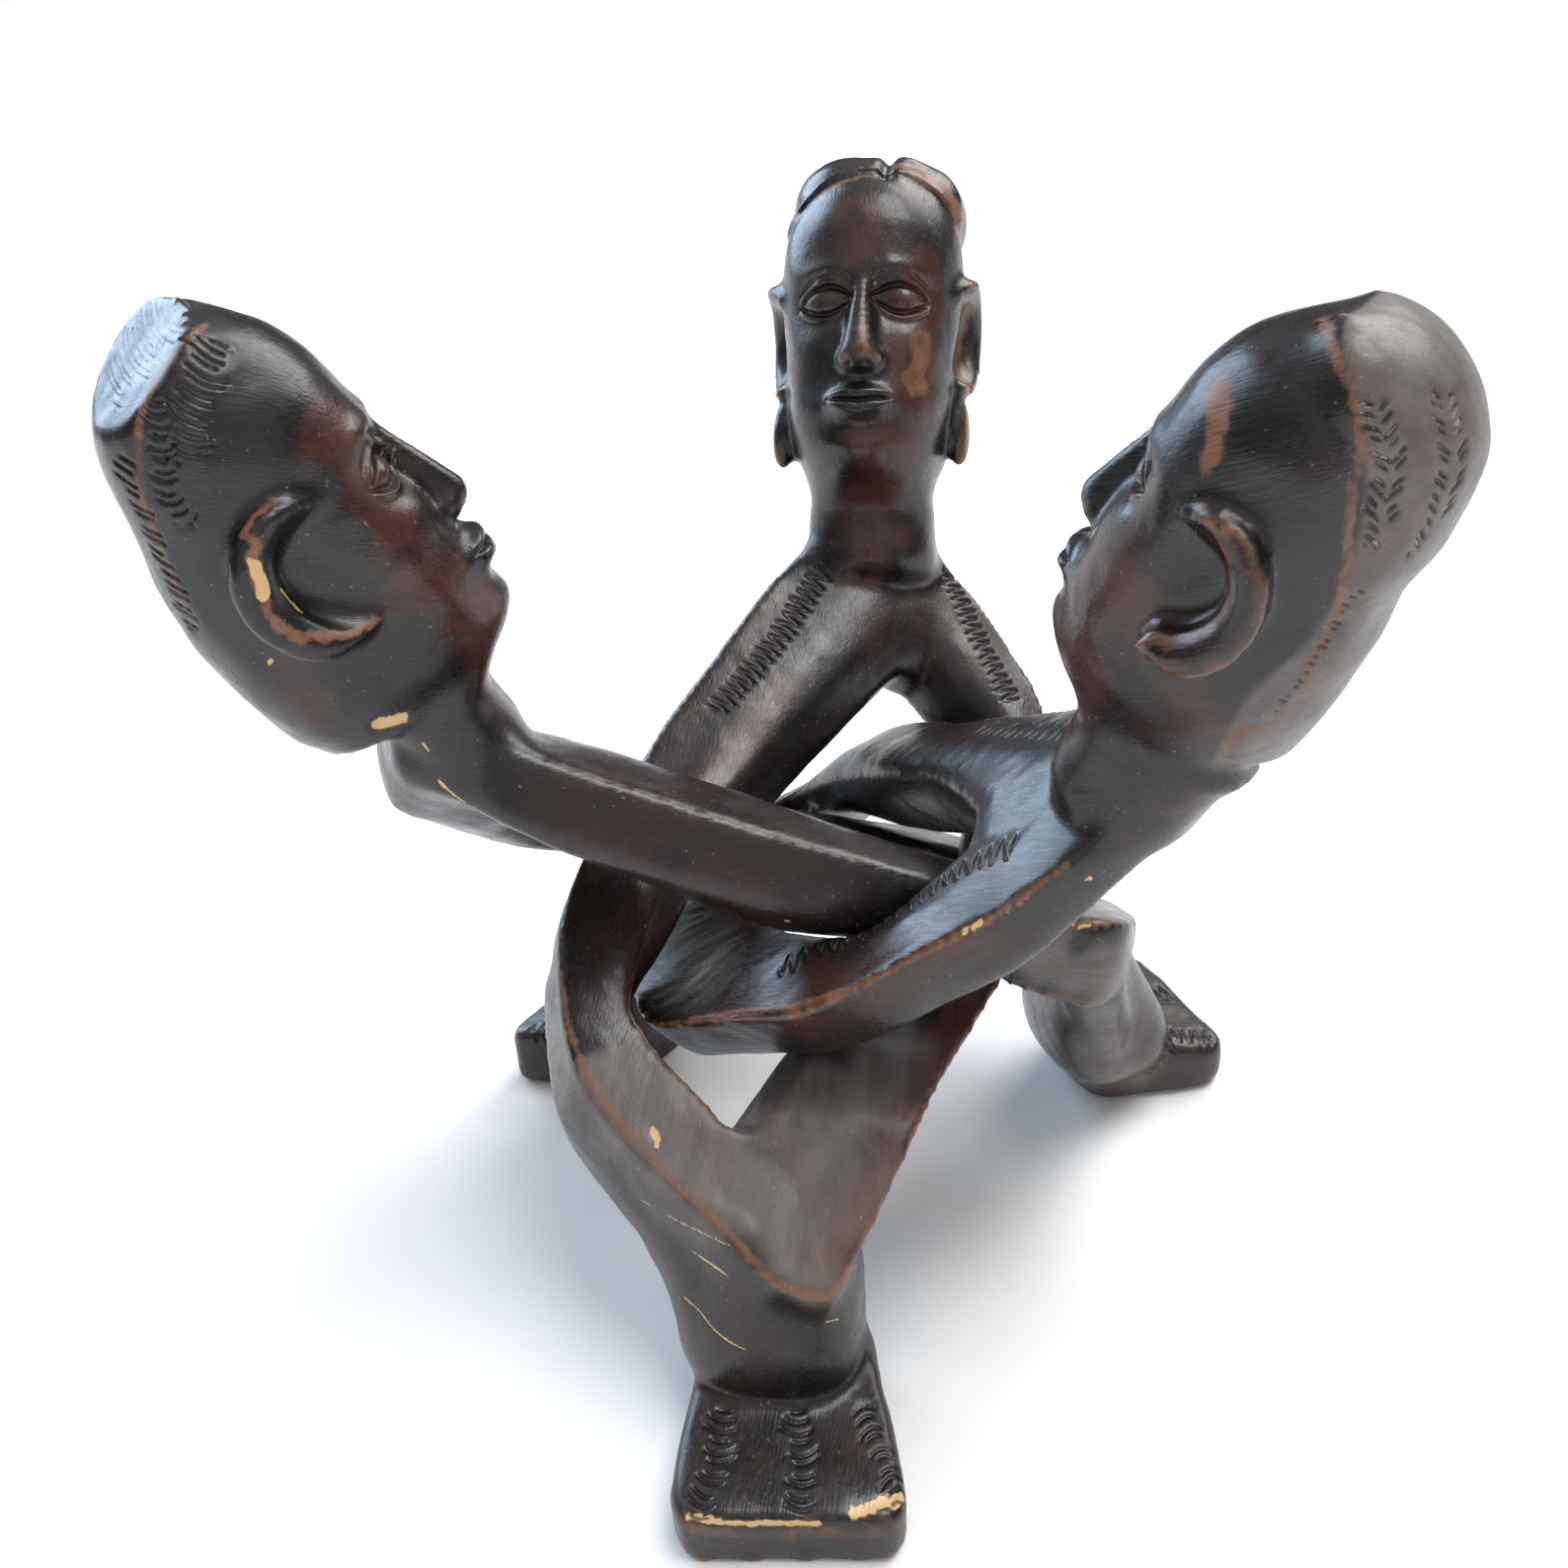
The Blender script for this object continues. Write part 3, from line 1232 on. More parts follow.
BACK_MARKS = (
    zigzag(
        Frame.PLANK, (-114, -26.5), (-99, -31), (-83, -35), (-67, -41), (-46, -50), half=4.3, pitch=4
    ),
    zigzag(
        Frame.PLANK, (-130, 22), (-120, 30), (-108, 38), (-97, 46), (-80, 58), half=3.6, pitch=4
    ),
    ticks(
        Frame.FIGURE, (148, -23.5, 25), (167, -23, 23), (184, -26, 21), half=4.8, pitch=3.6, arch=2
    ),
    ticks(Frame.FIGURE, (146, 0, 25), (164, 4, 23), (178, 6, 21), half=4.6, pitch=3.6, arch=2),
    ticks(Frame.FIGURE, (142, 20, 25), (159, 29, 23), (171, 36, 21), half=4, pitch=3.6, arch=-2),
    rubbed(
        Frame.PLANK, (67, -77), (90, -66), (107, -53), (123, -35), (134, -21), (145, -4), half=1.5
    ),
    rubbed(Frame.PLANK, (145, -4), (157, 10), (159, 23), (156, 33), (149, 37), half=1.9),
    stain(Tint.MATT, Frame.PLANK, (108, -42), (128, -8), (145, 18), half=18, strength=1),
    stain(Tint.MATT, Frame.PLANK, (96, -12), (108, 14), (125, 24), half=22, strength=1),
    stain(Tint.MATT, Frame.PLANK, (72, 30), (92, 28), half=18, strength=0.9),
    stain(Tint.RED, Frame.PLANK, (50, 55), (97, 42), (123, 36), (145, 33), half=9, strength=1),
    stain(Tint.RED, Frame.PLANK, (-60, -28), (-40, -36), (-10, -50), half=9, strength=0.8),
    stain(Tint.RED, Frame.HEAD, (12, 0, -88), (30, 10, -55), half=16, strength=0.9),
    stain(Tint.RED, Frame.HEAD, (30, 22, 10), (30, 22, -45), half=12, strength=1),
    stain(Tint.RED, Frame.HEAD, (36, 0, 30), half=14, strength=0.8),
    rubbed(Frame.HEAD, (30, 24, -12), (30, 22, -28), half=6, strength=0.8),
    rubbed(Frame.HEAD, (46, 3, -10), (48, 4, -20), half=3, strength=0.85),
    rubbed(Frame.HEAD, (23, -26, 46), (27, -12, 55), (26, 2, 58), half=2.4, strength=0.75),
    rubbed(Frame.HEAD, (15, 14, 57), (12, 26, 51), (6, 35, 42), (-2, 40, 30), half=5),
    rubbed(Frame.HEAD, (-2, 39, 15), (-6, 40, -5), (2, 39, -30), (0, 39, -50), half=4, strength=0.8),
    chip(Frame.PLANK, (116, -34), (121, -31), half=1.2),
    chip(Frame.FIGURE, (118, 17, 62), half=1.3),
    chip(Frame.FIGURE, (183, -28, 20), (181, -9, 18.5), (179, 11, 18.5), half=1.3),
    chip(Frame.FIGURE, (176, 22, 20), (169, 35, 20), half=2),
    rubbed(Frame.FIGURE, (184, -28, 15), (180, 10, 15), (168, 37, 16), half=4, strength=0.6),
    scratch(Frame.FIGURE, (110, -58, 78), (118, -45, 79), (125, -32, 80), (132, -21, 81)),
    scratch(Frame.FIGURE, (123, -35, 69), (128, -28, 69), (133, -21, 69), width=0.55),
    scratch(Frame.FIGURE, (117, -53, 50), (131, -35, 51), (137, -27, 49), (142, -17, 47)),
    scratch(Frame.FIGURE, (137, 9, 56), (134, 13, 54)),
)
LEFT_MARKS = (
    ticks(
        Frame.HEAD, (17, -20, 57), (9, -27, 53), (-2, -32, 45), (-7, -33, 40),
        half=5.5, pitch=2.7, arch=1.6, lean=0.2, width=0.5,
    ),
    ticks(
        Frame.HEAD, (-3, -28, 55), (-10, -31, 47), (-16, -32, 38), (-20, -34, 28),
        half=4, pitch=3, arch=1.6, width=0.5,
    ),
    ticks(
        Frame.HEAD, (-22, -26, 50), (-28, -27, 39), (-34, -28, 24), (-41, -25, 0),
        half=4, pitch=3.4, lean=0.5, depth=0.6,
    ),
    ticks(
        Frame.HEAD, (15, 0, 64), (0, 0, 64), (-16, 0, 64),
        half=17, pitch=2.1, arch=3, depth=0.22, width=0.45, strength=0.3,
    ),
    rubbed(Frame.HEAD, (17, -15, 61), (8, -22, 60), (-5, -26, 56), (-13, -27, 51), half=1.8),
    rubbed(
        Frame.HEAD, (-13, -27, 51), (-28, -28, 33), (-33, -28, 20), (-40, -26, 3),
        half=1.8, strength=0.65,
    ),
    rubbed(
        Frame.HEAD, (4, -38, 20), (-7, -41, 15), (-14, -43, 8), (-18, -43, -4), (-14, -42, -15),
        (-6, -40, -21), (4, -38, -24), half=2.1, strength=0.95,
    ),
    chip(Frame.HEAD, (-12, -42, 11), (-15, -43, 4), half=2.4),
    chip(Frame.HEAD, (-12, -39, 0), (-12, -38, -8), half=1.4, depth=0),
    chip(Frame.HEAD, (-20, -28, -56), (-13, -28, -59), half=2.6, depth=0.8),
    chip(Frame.HEAD, (-29, -31, -18), half=1),
    chip(Frame.HEAD, (-25, -31, -34), half=0.9),
    scratch(Frame.FIGURE, (-132, -27, 223), (-131, -26, 214), (-127, -25, 206), width=0.7),
    scratch(Frame.FIGURE, (-127, -25, 206), (-122, -27, 196), (-116, -30, 186), width=0.5),
    chip(Frame.FIGURE, (-29, -69, 159), half=1.2),
    ticks(
        Frame.PLANK, (-128, 2), (-110, -1), (-90, -8), (-66, -17),
        half=3, pitch=4, lean=0.6, depth=0.6,
    ),
    stain(Tint.MATT, Frame.FIGURE, (45, -88, 136), (69, -89, 122), (92, -80, 108), half=10, strength=0.8),
    stain(Tint.MATT, Frame.PLANK, (60, -68), (90, -58), half=8, strength=0.7),
    rubbed(Frame.FIGURE, (61, -84, 141), (72, -82, 137), (86, -76, 130), half=2.4, strength=0.9),
    rubbed(Frame.FIGURE, (45, -89, 121), (67, -92, 110), (85, -84, 98), half=1.4, strength=0.6),
    chip(Frame.FIGURE, (66, -84, 139), (74, -82, 136), half=0.8, depth=0.2),
    zigzag(Frame.FIGURE, (127, -24, 24), (142, -25, 23), (161, -30, 21), half=4.5, pitch=4.6),
    zigzag(Frame.FIGURE, (124, 2, 24), (142, 3, 23), (160, 4, 21), half=4.5, pitch=4.6),
    zigzag(Frame.FIGURE, (120, 22, 24), (138, 27, 23), (152, 33, 21), half=4, pitch=4.6),
    stain(Tint.RED, Frame.HEAD, (10, 0, -85), (24, -22, -45), (18, -32, -30), half=16, strength=0.8),
    stain(Tint.RED, Frame.HEAD, (27, -24, 20), (26, -28, -8), half=12, strength=0.9),
    stain(Tint.RED, Frame.HEAD, (-25, -36, -20), (-30, -33, -40), half=12, strength=0.7),
    rubbed(Frame.HEAD, (30, -22, 18), half=4, strength=0.5),
    rubbed(Frame.HEAD, (32, -20, -24), (32, -18, -34), half=4, strength=0.5),
)
RIGHT_MARKS = (
    zigzag(
        Frame.PLANK, (-101, 25), (-87, 29), (-74, 36), (-62, 45), (-50, 53), (-36, 60), (-23, 67),
        pitch=4.8,
    ),
    zigzag(Frame.PLANK, (-110, -20), (-88, -28), (-66, -38), (-48, -48), half=4.5, pitch=5.3),
    rubbed(Frame.PLANK, (-118, 50), (-106, 60), (-75, 73), (-38, 84), (8, 87), half=1.8),
    chip(Frame.PLANK, (-104, 60), (-99, 62), half=1.3),
    chip(Frame.FIGURE, (-116, 28, 189), half=1.2),
    *(
        ticks(
            Frame.HEAD, *path, half=2.3, pitch=3, lean=lean, depth=depth, tint=tint, strength=1
        )
        for path, lean in (
            (((-8, 31, 54), (-14, 32, 50), (-20, 32, 43), (-24, 31, 34), (-28, 29, 26)), 0.7),
            (((-12, 27, 55), (-18, 28, 50), (-24, 28, 43), (-28, 27, 34)), -0.7),
            (((-19, 16, 59), (-25, 18, 55), (-31, 19, 46), (-35, 19, 36), (-37, 20, 26)), 0.7),
            (((-22, 11, 59), (-28, 12, 54), (-34, 13, 46), (-38, 13, 36)), -0.7),
        )
        for tint, depth in ((Tint.CUT, 1), (Tint.PALE, 0))
    ),
    ticks(
        Frame.HEAD, (-36, 31, 11), (-37, 31, -10), (-38, 30, -27),
        half=1.6, pitch=2.6, width=0.5, depth=0.5,
    ),
    rubbed(Frame.HEAD, (15, 10, 58), (4, 24, 57), (-6, 29, 52), (-14, 32, 44), half=1.8),
    rubbed(
        Frame.HEAD, (-14, 32, 44), (-18, 31, 35), (-24, 30, 24), (-30, 22, 5), (-31, 19, -22),
        (-29, 21, -45), half=1.6, strength=0.8,
    ),
    rubbed(Frame.HEAD, (23, 25, 36), (18, 31, 31), (14, 34, 23), half=3.6, strength=1.1),
    rubbed(
        Frame.HEAD, (9, 38, 14), (0, 41, 12), (-7, 42, 4), (-9, 42, -8), (-6, 41, -18), (3, 40, -24),
        half=2.6, strength=0.75,
    ),
    stain(Tint.RED, Frame.HEAD, (10, 0, -85), (24, 24, -48), (20, 33, -25), half=18, strength=0.8),
    stain(Tint.RED, Frame.HEAD, (27, 26, 0), half=13, strength=0.8),
    stain(Tint.RED, Frame.HEAD, (-10, 36, -30), (-20, 34, -45), half=14, strength=0.7),
    stain(Tint.RED, Frame.PLANK, (-100, 66), (-60, 82), (-10, 88), half=18, strength=0.6),
    zigzag(Frame.FIGURE, (112, -22, 33), (128, -24, 31), (146, -28, 28), half=5, pitch=5),
    zigzag(Frame.FIGURE, (112, 3, 33), (128, 4, 31), (146, 5, 28), half=5, pitch=5),
    zigzag(Frame.FIGURE, (110, 22, 33), (124, 27, 31), (139, 32, 28), half=4.6, pitch=5),
)


def figures() -> list[Figure]:
    """The three figures, each with its maker's small departures from the common form."""
    common = Outline()
    back = Figure(
        name="figure_back",
        turn=270.3,
        shift=(6, -2.5),
        plank=Plank(
            common.moved(
                reach=(-5, 16),
                edge_left=(0, 2, -2, -11, -4, 0),
                edge_right=(-2, -4, -3, -1, 0, 0),
                lift_left=(7, 3, 0, 0, 1, 1),
                lift_right=(4, -3, -9, -9, -4, 1),
                slot_reach=(-10, 0),
                slot_left=(6, 4, 0, 0, -4, 1),
                slot_right=(3, 9, 4, 0, 5, 0),
            ),
            pitch=16.8,
            roll=28,
            under=(-12, -5, -10),
            keel=((8, 2, 0, 0), (8, 2, 0, 0)),
            shoulder=(4, 2),
        ),
        head=Head(
            crown=0.94, hair=Hair.LOBED, proud=1.5, ear=1, curl=(0.5, 0.9, 0.9, 0.8, 0.5),
            centre=(-152, 0, 295.5),
        ),
        leg=Leg(toe=181, heel_height=30, skew=7),
        marks=BACK_MARKS,
    )
    left = Figure(
        name="figure_left",
        turn=27.8,
        shift=(-8, 8),
        plank=Plank(
            common.moved(
                reach=(-16, 5),
                edge_left=(-12, -7, -1.5, 1, 1, 0),
                edge_right=(4, 5, 2.5, 4, -7, 0),
                lift_left=(0.5, 0.7, 1, 0.8, 0.6, 0),
                lift_right=(11, 9, 7.5, 6, 5, 0),
            ),
            pitch=15.7,
            roll=29,
            thin_at_neck=0.15,
            thick_at_leg=38,
            tilts=((12, 10, 6, 5, 5), (-3, -3)),
            keel=((2, 6, 8, 0, 0, 0, 0), (0, 0)),
            draft=(5, 5, 5, 9, 9, 9, 9),
            soft=5,
        ),
        head=Head(
            crown=1.08, hair=Hair.FLAT, proud=1, ear=1.08, curl=(0.15, 0.95, 1.35, 1.15, 0.15),
            neck_trim=14, trim=(0, 0, 0, 1, 5, 5),
        ),
        leg=Leg(
            toe=165, heel_height=30, skew=3, pull=8, heel=108, widths=(50, 73),
            middles=(-6, 1.5), tuck=7, recess=8,
        ),
        marks=LEFT_MARKS,
        wear=0.3,
        ease=0.25,
    )
    right = Figure(
        name="figure_right",
        turn=154.4,
        shift=(-2, -3),
        plank=Plank(
            common.moved(
                reach=(-9, -6),
                edge_left=(-6, -6, 3, 10, 2, 0),
                edge_right=(4, 7, 8, 1, -1, 0),
                lift_left=(-2, 2, 4, 3, 0, -3),
                lift_right=(1, 2, 1.5, -3, -7.5, -3),
                slot_reach=(12, 0),
                slot_left=(0, -1, -15, -20, -6, 0),
                slot_right=(0, 0, 0, -1, -1, 0),
            ),
            pitch=19.5,
            roll=25.6,
            under=(-4, 18, -5),
            keel=((8, 9, 13, 12, 0, 0, 0), (0, 0)),
            shoulder=(4, 0),
        ),
        head=Head(
            crown=0.9, hair=Hair.ROUND, proud=3.5, ear=0.95, curl=(0.3, 0.9, 1.15, 1.2, 0.9),
            trim=(7, 6, 8, 9, 4, 0), grey=0.8,
        ),
        leg=Leg(toe=150, heel_height=38, skew=3, pull=20, toe_height=26),
        marks=RIGHT_MARKS,
    )
    return [back, left, right]


class Graph:
    """Short way of adding and joining shader nodes in one tree."""

    def __init__(self, tree: bpy.types.NodeTree) -> None:
        """Keeps the tree whose nodes are added."""
        self.tree = tree

    def add(self, kind: str, inputs: dict | None = None, **settings: object) -> bpy.types.Node:
        """Adds a node.

        Args:
            kind: Its type.
            inputs: A value or an output socket for each named or numbered input.
            settings: Its own settings.

        Returns:
            The node.
        """
        node = self.tree.nodes.new(kind)
        for name, value in settings.items():
            setattr(node, name, value)
        for name, value in (inputs or {}).items():
            if isinstance(value, bpy.types.NodeSocket):
                self.tree.links.new(value, node.inputs[name])
            else:
                node.inputs[name].default_value = value
        return node

    def maths(self, operation: str, a: object, b: object = 0.0) -> bpy.types.NodeSocket:
        """One sum of two values."""
        return self.add("ShaderNodeMath", {0: a, 1: b}, operation=operation).outputs[0]

    def noise(self, place: bpy.types.NodeSocket, scale: float, detail: float) -> object:
        """Noise value at a place, about 0.5."""
        inputs = {"Vector": place, "Scale": scale, "Detail": detail, "Roughness": 0.6}
        return self.add("ShaderNodeTexNoise", inputs).outputs["Fac"]

    def step(self, value: object, low: float, high: float, to: Line = (0, 1)) -> object:
        """Smooth step of a value from one range to another."""
        inputs = {0: value, 1: low, 2: high, 3: to[0], 4: to[1]}
        node = self.add("ShaderNodeMapRange", inputs, interpolation_type="SMOOTHSTEP")
        return node.outputs[0]

    def blend(self, factor: object, a: object, b: object, mode: str = "MIX") -> object:
        """Mix of two colours."""
        node = self.add("ShaderNodeMix", data_type="RGBA", blend_type=mode)
        for name, value in (("Factor", factor), ("A", a), ("B", b)):
            sockets = [i for i in node.inputs if i.name == name and i.enabled]
            if isinstance(value, bpy.types.NodeSocket):
                self.tree.links.new(value, sockets[0])
            else:
                sockets[0].default_value = value
        return [o for o in node.outputs if o.enabled][0]


def effect(name: str, takes: dict[str, str], gives: Sequence[str]) -> tuple[Graph, object, object]:
    """Starts a shared shader group.

    Args:
        name: Its name.
        takes: Socket type of each input.
        gives: Names of its outputs, all values.

    Returns:
        Its graph, the outputs of its input node and the inputs of its output node.
    """
    tree = bpy.data.node_groups.new(name, "ShaderNodeTree")
    for title, kind in takes.items():
        tree.interface.new_socket(name=title, in_out="INPUT", socket_type=kind)
    for title in gives:
        tree.interface.new_socket(name=title, in_out="OUTPUT", socket_type="NodeSocketFloat")
    graph = Graph(tree)
    start, end = graph.add("NodeGroupInput"), graph.add("NodeGroupOutput")
    return graph, start.outputs, end.inputs


def grain_effect() -> bpy.types.NodeTree:
    """Wood grain: noise drawn out along the place's first direction.

    Its outputs are broad streaks, fine fibres, and a height of fibres and small dents.
    """
    graph, take, give = effect(
        "wood_grain", {"Place": "NodeSocketVector"}, ("Streaks", "Fibres", "Height")
    )
    stretch = [(9, 150, 150), (40, 1300, 1300)]
    drawn = [
        graph.add(
            "ShaderNodeVectorMath", {0: take["Place"], 1: factor}, operation="MULTIPLY"
        ).outputs[0]
        for factor in stretch
    ]
    streaks, fibres = graph.noise(drawn[0], 1, 3), graph.noise(drawn[1], 1, 2)
    dents = graph.noise(take["Place"], 260, 2)
    height = graph.maths("ADD", fibres, graph.maths("MULTIPLY", dents, 0.9))
    for name, value in (("Streaks", streaks), ("Fibres", fibres), ("Height", height)):
        graph.tree.links.new(value, give[name])
    return graph.tree


def ragged_effect() -> bpy.types.NodeTree:
    """Ragged edge for a mask: noise is added to an amount before a smooth step."""
    takes = {
        "Place": "NodeSocketVector",
        "Amount": "NodeSocketFloat",
        "Size": "NodeSocketFloat",
        "Ragged": "NodeSocketFloat",
        "Start": "NodeSocketFloat",
        "End": "NodeSocketFloat",
    }
    graph, take, give = effect("ragged_mask", takes, ("Mask",))
    noise = graph.noise(take["Place"], take["Size"], 4)
    swing = graph.maths("MULTIPLY", graph.maths("SUBTRACT", noise, 0.5), take["Ragged"])
    inputs = {0: graph.maths("ADD", take["Amount"], swing), 1: take["Start"], 2: take["End"]}
    node = graph.add("ShaderNodeMapRange", inputs, interpolation_type="SMOOTHSTEP")
    graph.tree.links.new(node.outputs[0], give["Mask"])
    return graph.tree


@dataclass(frozen=True)
class WaxedWood:
    """Dark waxed wood, rubbed to reddish brown and worn to orange at its edges.

    Attributes:
        dark: Colour of the waxed surface.
        red: Colour where the stain is thin.
        matt: Colour of the dry grey faces.
        earthy: Colour of their browner places, and of red showing through them.
        worn: Colour where the stain is rubbed through.
        bare: Colour of the wood in a fresh chip.
        pale: Colour of dust and of dry wax in the gouges.
        shine: Roughness of the wax at its smoothest and roughest.
        coat: Strength of the wax's shine.
        fibre: How strongly the fibres stand out, and over what depth in metres.
        masks: Size, raggedness, start and end of the mask of each tint.
    """

    dark: Line = (0.0075, 0.0055, 0.0055)
    red: Line = (0.060, 0.018, 0.012)
    matt: Line = (0.165, 0.147, 0.138)
    earthy: Line = (0.15, 0.098, 0.085)
    worn: Line = (0.23, 0.1, 0.05)
    bare: Line = (0.68, 0.44, 0.19)
    pale: Line = (0.42, 0.34, 0.22)
    shine: Line = (0.24, 0.42)
    coat: float = 0.2
    fibre: Line = (0.34, 0.0004)
    masks: tuple[tuple[Tint, Line], ...] = (
        (Tint.RED, (16, 0.9, 0.05, 1.1)),
        (Tint.MATT, (40, 0.5, 0.05, 0.9)),
        (Tint.WORN, (110, 0.9, 0.3, 1.05)),
        (Tint.BARE, (300, 1, 0.38, 0.66)),
        (Tint.PALE, (220, 3.4, 0.85, 1.3)),
        (Tint.CUT, (200, 0.2, 0.1, 0.8)),
    )

    def material(self, name: str, world: Matrix, plank: Plank) -> bpy.types.Material:
        """The finish as a material, its grain running down one figure's body.

        Args:
            name: The figure.
            world: The figure's place.
            plank: Its body.

        Returns:
            The material.
        """
        made = bpy.data.materials.new(f"{name}_waxed_wood")
        made.use_nodes = True
        graph = Graph(made.node_tree)
        shader = made.node_tree.nodes["Principled BSDF"]
        turn = (Matrix(plank.axes.tolist()) @ world.to_3x3().transposed()).to_euler()
        place = graph.add("ShaderNodeTexCoord").outputs["Object"]
        place = graph.add("ShaderNodeMapping", {"Vector": place, "Rotation": turn}).outputs[0]
        groups = bpy.data.node_groups
        grain_tree = groups.get("wood_grain") or grain_effect()
        ragged_tree = groups.get("ragged_mask") or ragged_effect()
        grain = graph.add("ShaderNodeGroup", node_tree=grain_tree)
        graph.tree.links.new(place, grain.inputs["Place"])
        masks = {}
        for tint, (size, ragged, start, end) in self.masks:
            amount = graph.add("ShaderNodeAttribute", attribute_name=tint.value).outputs["Fac"]
            node = graph.add("ShaderNodeGroup", node_tree=ragged_tree)
            values = (amount, size, ragged, start, end)
            for title, value in zip(("Amount", "Size", "Ragged", "Start", "End"), values):
                if isinstance(value, bpy.types.NodeSocket):
                    graph.tree.links.new(value, node.inputs[title])
                else:
                    node.inputs[title].default_value = value
            graph.tree.links.new(place, node.inputs["Place"])
            masks[tint] = node.outputs["Mask"]
        streak = graph.step(grain.outputs["Streaks"], 0.3, 0.7, (0.55, 1.6))
        patchy = graph.step(graph.noise(place, 14, 3), 0.42, 0.75, (0, 0.4))
        redness = graph.maths("MAXIMUM", masks[Tint.RED], patchy)
        redness = graph.maths("MULTIPLY", redness, streak)
        colour = graph.blend(redness, (*self.dark, 1), (*self.red, 1))
        mottle = graph.step(grain.outputs["Streaks"], 0.25, 0.75, (0.6, 1))
        cloudy = graph.step(graph.noise(place, 30, 4), 0.4, 0.66)
        cloudy = graph.maths("MAXIMUM", graph.maths("MULTIPLY", cloudy, 0.6), masks[Tint.RED])
        dry = graph.blend(cloudy, (*self.matt, 1), (*self.earthy, 1))
        colour = graph.blend(graph.maths("MULTIPLY", masks[Tint.MATT], mottle), colour, dry)
        rub = graph.maths("MULTIPLY", masks[Tint.WORN], graph.step(grain.outputs["Fibres"], 0.3, 0.6, (0.6, 1)))
        colour = graph.blend(rub, colour, (*self.worn, 1))
        colour = graph.blend(masks[Tint.BARE], colour, (*self.bare, 1))
        dust = graph.step(graph.noise(place, 800, 0), 0.8, 0.85, (0, 0.3))
        cut = graph.maths("MULTIPLY", masks[Tint.CUT], 0.75)
        colour = graph.blend(cut, colour, (0.004, 0.003, 0.003, 1))
        colour = graph.blend(graph.maths("MAXIMUM", masks[Tint.PALE], dust), colour, (*self.pale, 1))
        graph.tree.links.new(colour, shader.inputs["Base Color"])
        rough = graph.step(graph.noise(place, 45, 4), 0.3, 0.7, self.shine)
        rough = graph.maths("ADD", rough, graph.maths("MULTIPLY", masks[Tint.MATT], 0.2))
        streaky = graph.step(grain.outputs["Fibres"], 0.3, 0.7, (-0.05, 0.09))
        rough = graph.maths("ADD", rough, streaky)
        rough = graph.maths("ADD", rough, graph.maths("MULTIPLY", masks[Tint.WORN], 0.1))
        graph.tree.links.new(rough, shader.inputs["Roughness"])
        shader.inputs["Coat Weight"].default_value = self.coat
        shader.inputs["Coat Roughness"].default_value = 0.2
        strength, depth = self.fibre
        bumps = {"Height": grain.outputs["Height"], "Strength": strength, "Distance": depth}
        normal = graph.add("ShaderNodeBump", bumps).outputs["Normal"]
        graph.tree.links.new(normal, shader.inputs["Normal"])
        return made


@dataclass(frozen=True)
class Camera:
    """The photograph's camera, solved from the figures' outlines.

    Attributes:
        place: Where it stands, in metres.
        azimuth: Which way it stands from the stand, in degrees.
        elevation: How high it looks down from, in degrees.
        yaw: Turn to the side after looking at the stand.
        pitch: Turn upwards after that.
        roll: Turn about its own view.
        focal: Focal length in photograph pixels.
        sensor: Width of the sensor in millimetres.
    """

    place: Line = (0.08939, -0.47148, 0.43596)
    azimuth: float = 280.441
    elevation: float = 28.879
    yaw: float = -1.402
    pitch: float = -0.287
    roll: float = -3.716
    focal: float = 1538.6
    sensor: float = 36

    def build(self) -> None:
        """Adds the camera and makes it the scene's."""
        turn, rise, yaw, pitch, roll = np.radians(
            [self.azimuth, self.elevation, self.yaw, self.pitch, self.roll]
        )
        back = np.array(
            [np.cos(turn) * np.cos(rise), np.sin(turn) * np.cos(rise), np.sin(rise)]
        )
        right = np.cross(-back, [0, 0, 1])
        right /= np.linalg.norm(right)
        up = np.cross(right, -back)
        ahead = -back * np.cos(yaw) + right * np.sin(yaw)
        right = right * np.cos(yaw) + back * np.sin(yaw)
        ahead, up = (
            ahead * np.cos(pitch) + up * np.sin(pitch),
            up * np.cos(pitch) - ahead * np.sin(pitch),
        )
        right, up = (
            right * np.cos(roll) + up * np.sin(roll),
            up * np.cos(roll) - right * np.sin(roll),
        )
        data = bpy.data.cameras.new("camera")
        data.sensor_width = self.sensor
        data.lens = self.sensor * self.focal / PHOTO_SIDE
        camera = bpy.data.objects.new("camera", data)
        axes = Matrix(np.stack([right, up, -ahead], axis=1).tolist()).to_4x4()
        camera.matrix_world = Matrix.Translation(self.place) @ axes
        bpy.context.scene.collection.objects.link(camera)
        bpy.context.scene.camera = camera


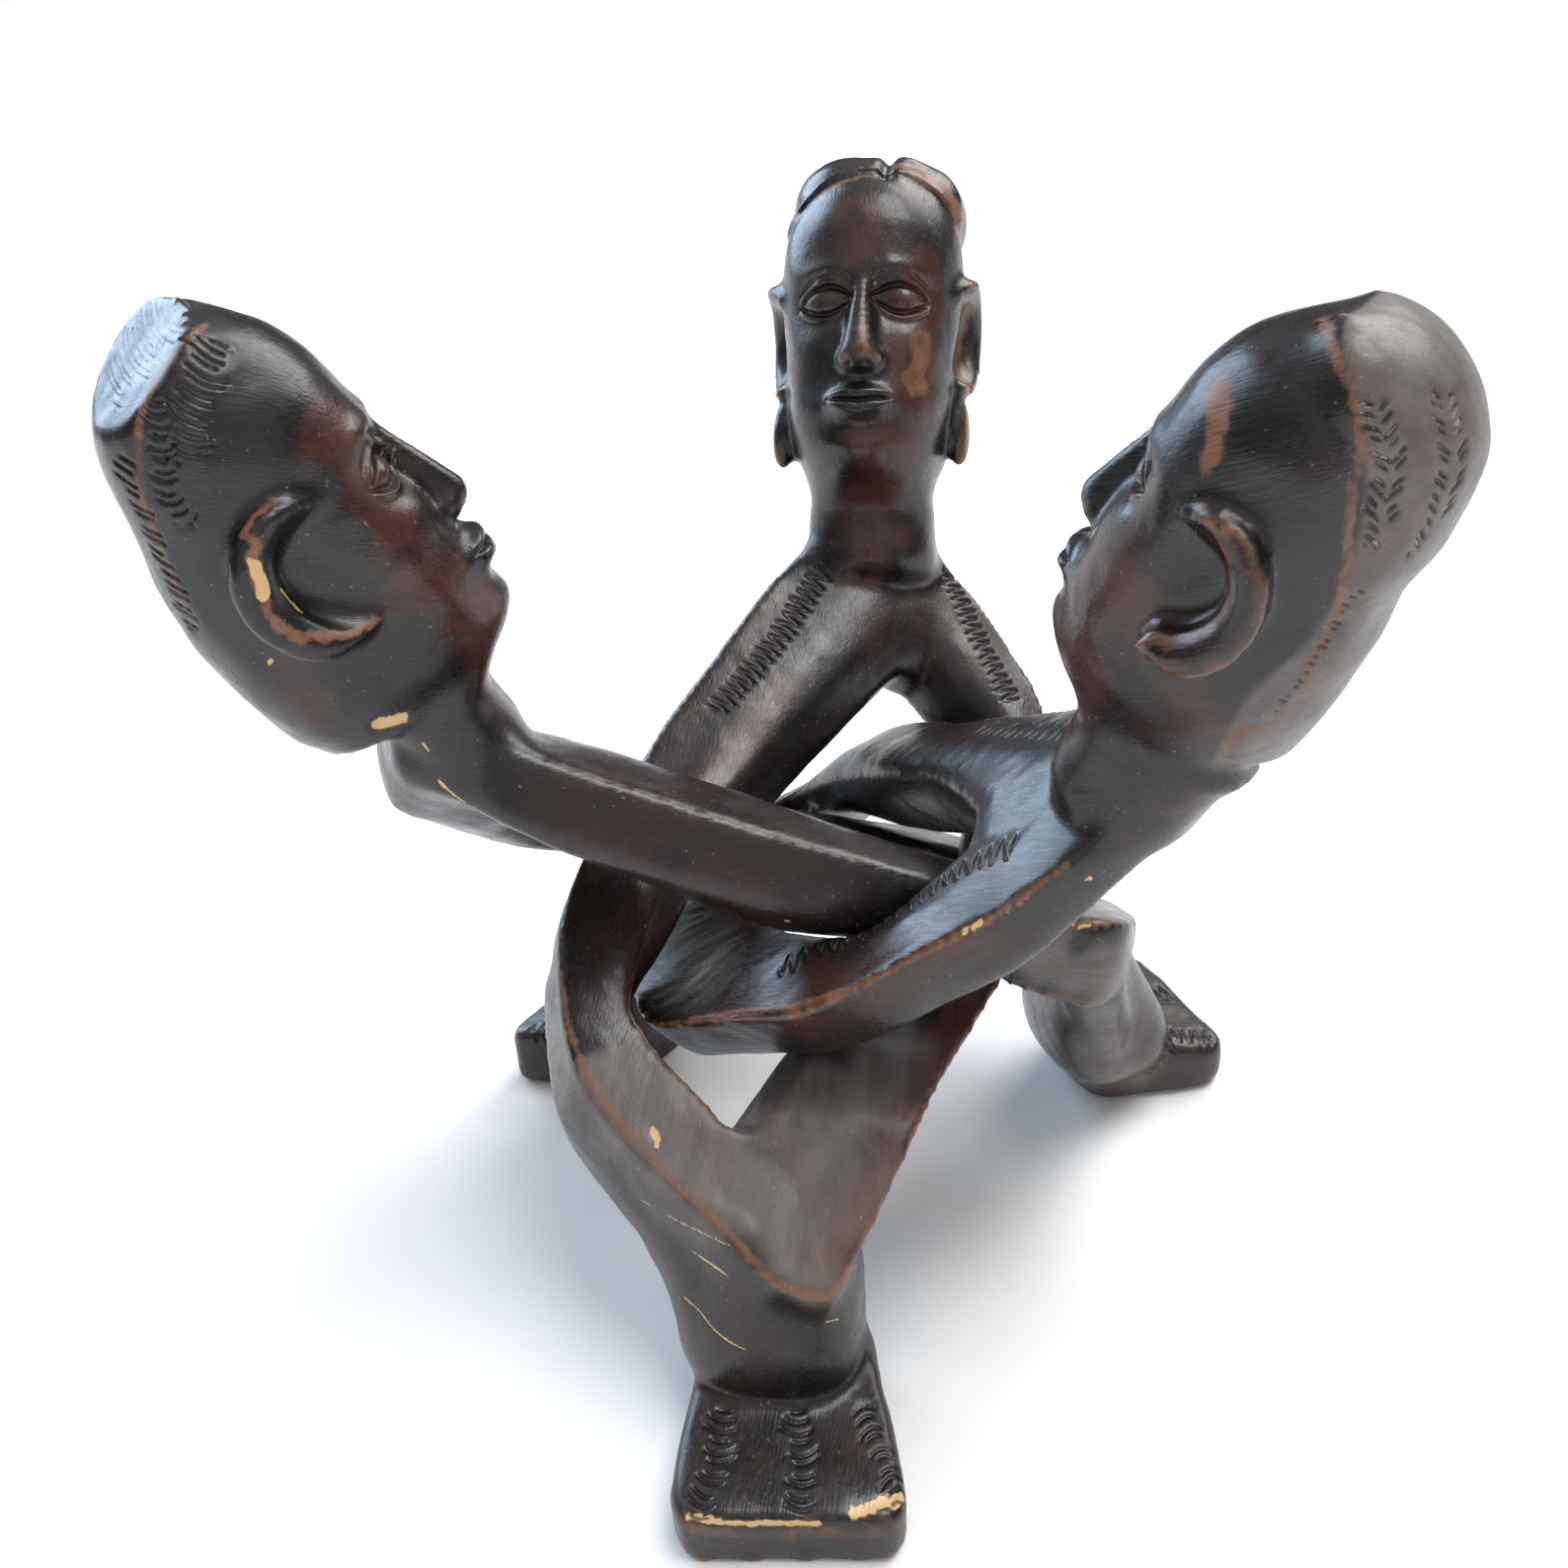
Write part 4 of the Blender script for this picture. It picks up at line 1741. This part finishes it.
@dataclass(frozen=True)
class Studio:
    """Plain pale floor and soft light from wide skies.

    Attributes:
        floor_half: Half the floor's side in metres.
        floor: Colour of the floor.
        sky: Strength of the light from all round, and of the white behind the stand.
        suns: Rows of direction to the light, strength, width in degrees and colour.
    """

    floor_half: float = 90
    floor: Line = (0.97, 0.97, 0.97)
    sky: Line = (0.12, 1.0)
    suns: tuple[tuple[Line, float, float, Line], ...] = (
        ((-0.72, 0.55, 0.42), 2.2, 40, (0.6, 0.79, 1)),
        ((0.27, 0.05, 0.96), 1.9, 32, (1, 0.99, 0.97)),
        ((0.4, 0.6, 0.6), 1.5, 36, (1, 0.98, 0.96)),
        ((0, 0, 1), 0.6, 120, (1, 1, 1)),
        ((0.25, -0.75, 0.5), 0.5, 80, (1, 0.97, 0.95)),
    )

    def build(self) -> None:
        """Adds the floor and the lights."""
        h = self.floor_half
        mesh = bpy.data.meshes.new("floor")
        mesh.from_pydata([(-h, -h, 0), (h, -h, 0), (h, h, 0), (-h, h, 0)], [], [(0, 1, 2, 3)])
        material = bpy.data.materials.new("floor")
        material.use_nodes = True
        shader = material.node_tree.nodes["Principled BSDF"]
        shader.inputs["Base Color"].default_value = (*self.floor, 1)
        shader.inputs["Roughness"].default_value = 0.9
        shader.inputs["Specular IOR Level"].default_value = 0.1
        mesh.materials.append(material)
        floor = bpy.data.objects.new("floor", mesh)
        bpy.context.scene.collection.objects.link(floor)
        for way, strength, width, colour in self.suns:
            data = bpy.data.lights.new("sky_panel", "SUN")
            data.energy = strength
            data.angle = math.radians(width)
            data.color = colour
            sun = bpy.data.objects.new("sky_panel", data)
            sun.rotation_euler = Vector(way).to_track_quat("Z", "Y").to_euler()
            bpy.context.scene.collection.objects.link(sun)
        world = bpy.data.worlds.new("studio")
        world.use_nodes = True
        graph = Graph(world.node_tree)
        background = world.node_tree.nodes["Background"]
        background.inputs["Color"].default_value = (0.97, 0.98, 1, 1)
        seen = graph.add("ShaderNodeLightPath").outputs["Is Camera Ray"]
        strength = graph.step(seen, 0, 1, self.sky)
        graph.tree.links.new(strength, background.inputs["Strength"])
        bpy.context.scene.world = world
        bpy.context.scene.view_settings.view_transform = "Standard"


def main() -> None:
    """Builds the studio, the camera and the three figures, and writes the two boxes."""
    logging.basicConfig(level=logging.INFO, format="%(message)s")
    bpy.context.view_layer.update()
    wood = WaxedWood()
    for figure in figures():
        piece = figure.build(wood)
        corners = len(piece.data.loops) - 2 * len(piece.data.polygons)
        log.info("%s: %d triangles", piece.name, corners)
    Studio().build()
    Camera().build()


if __name__ == "__main__":
    main()
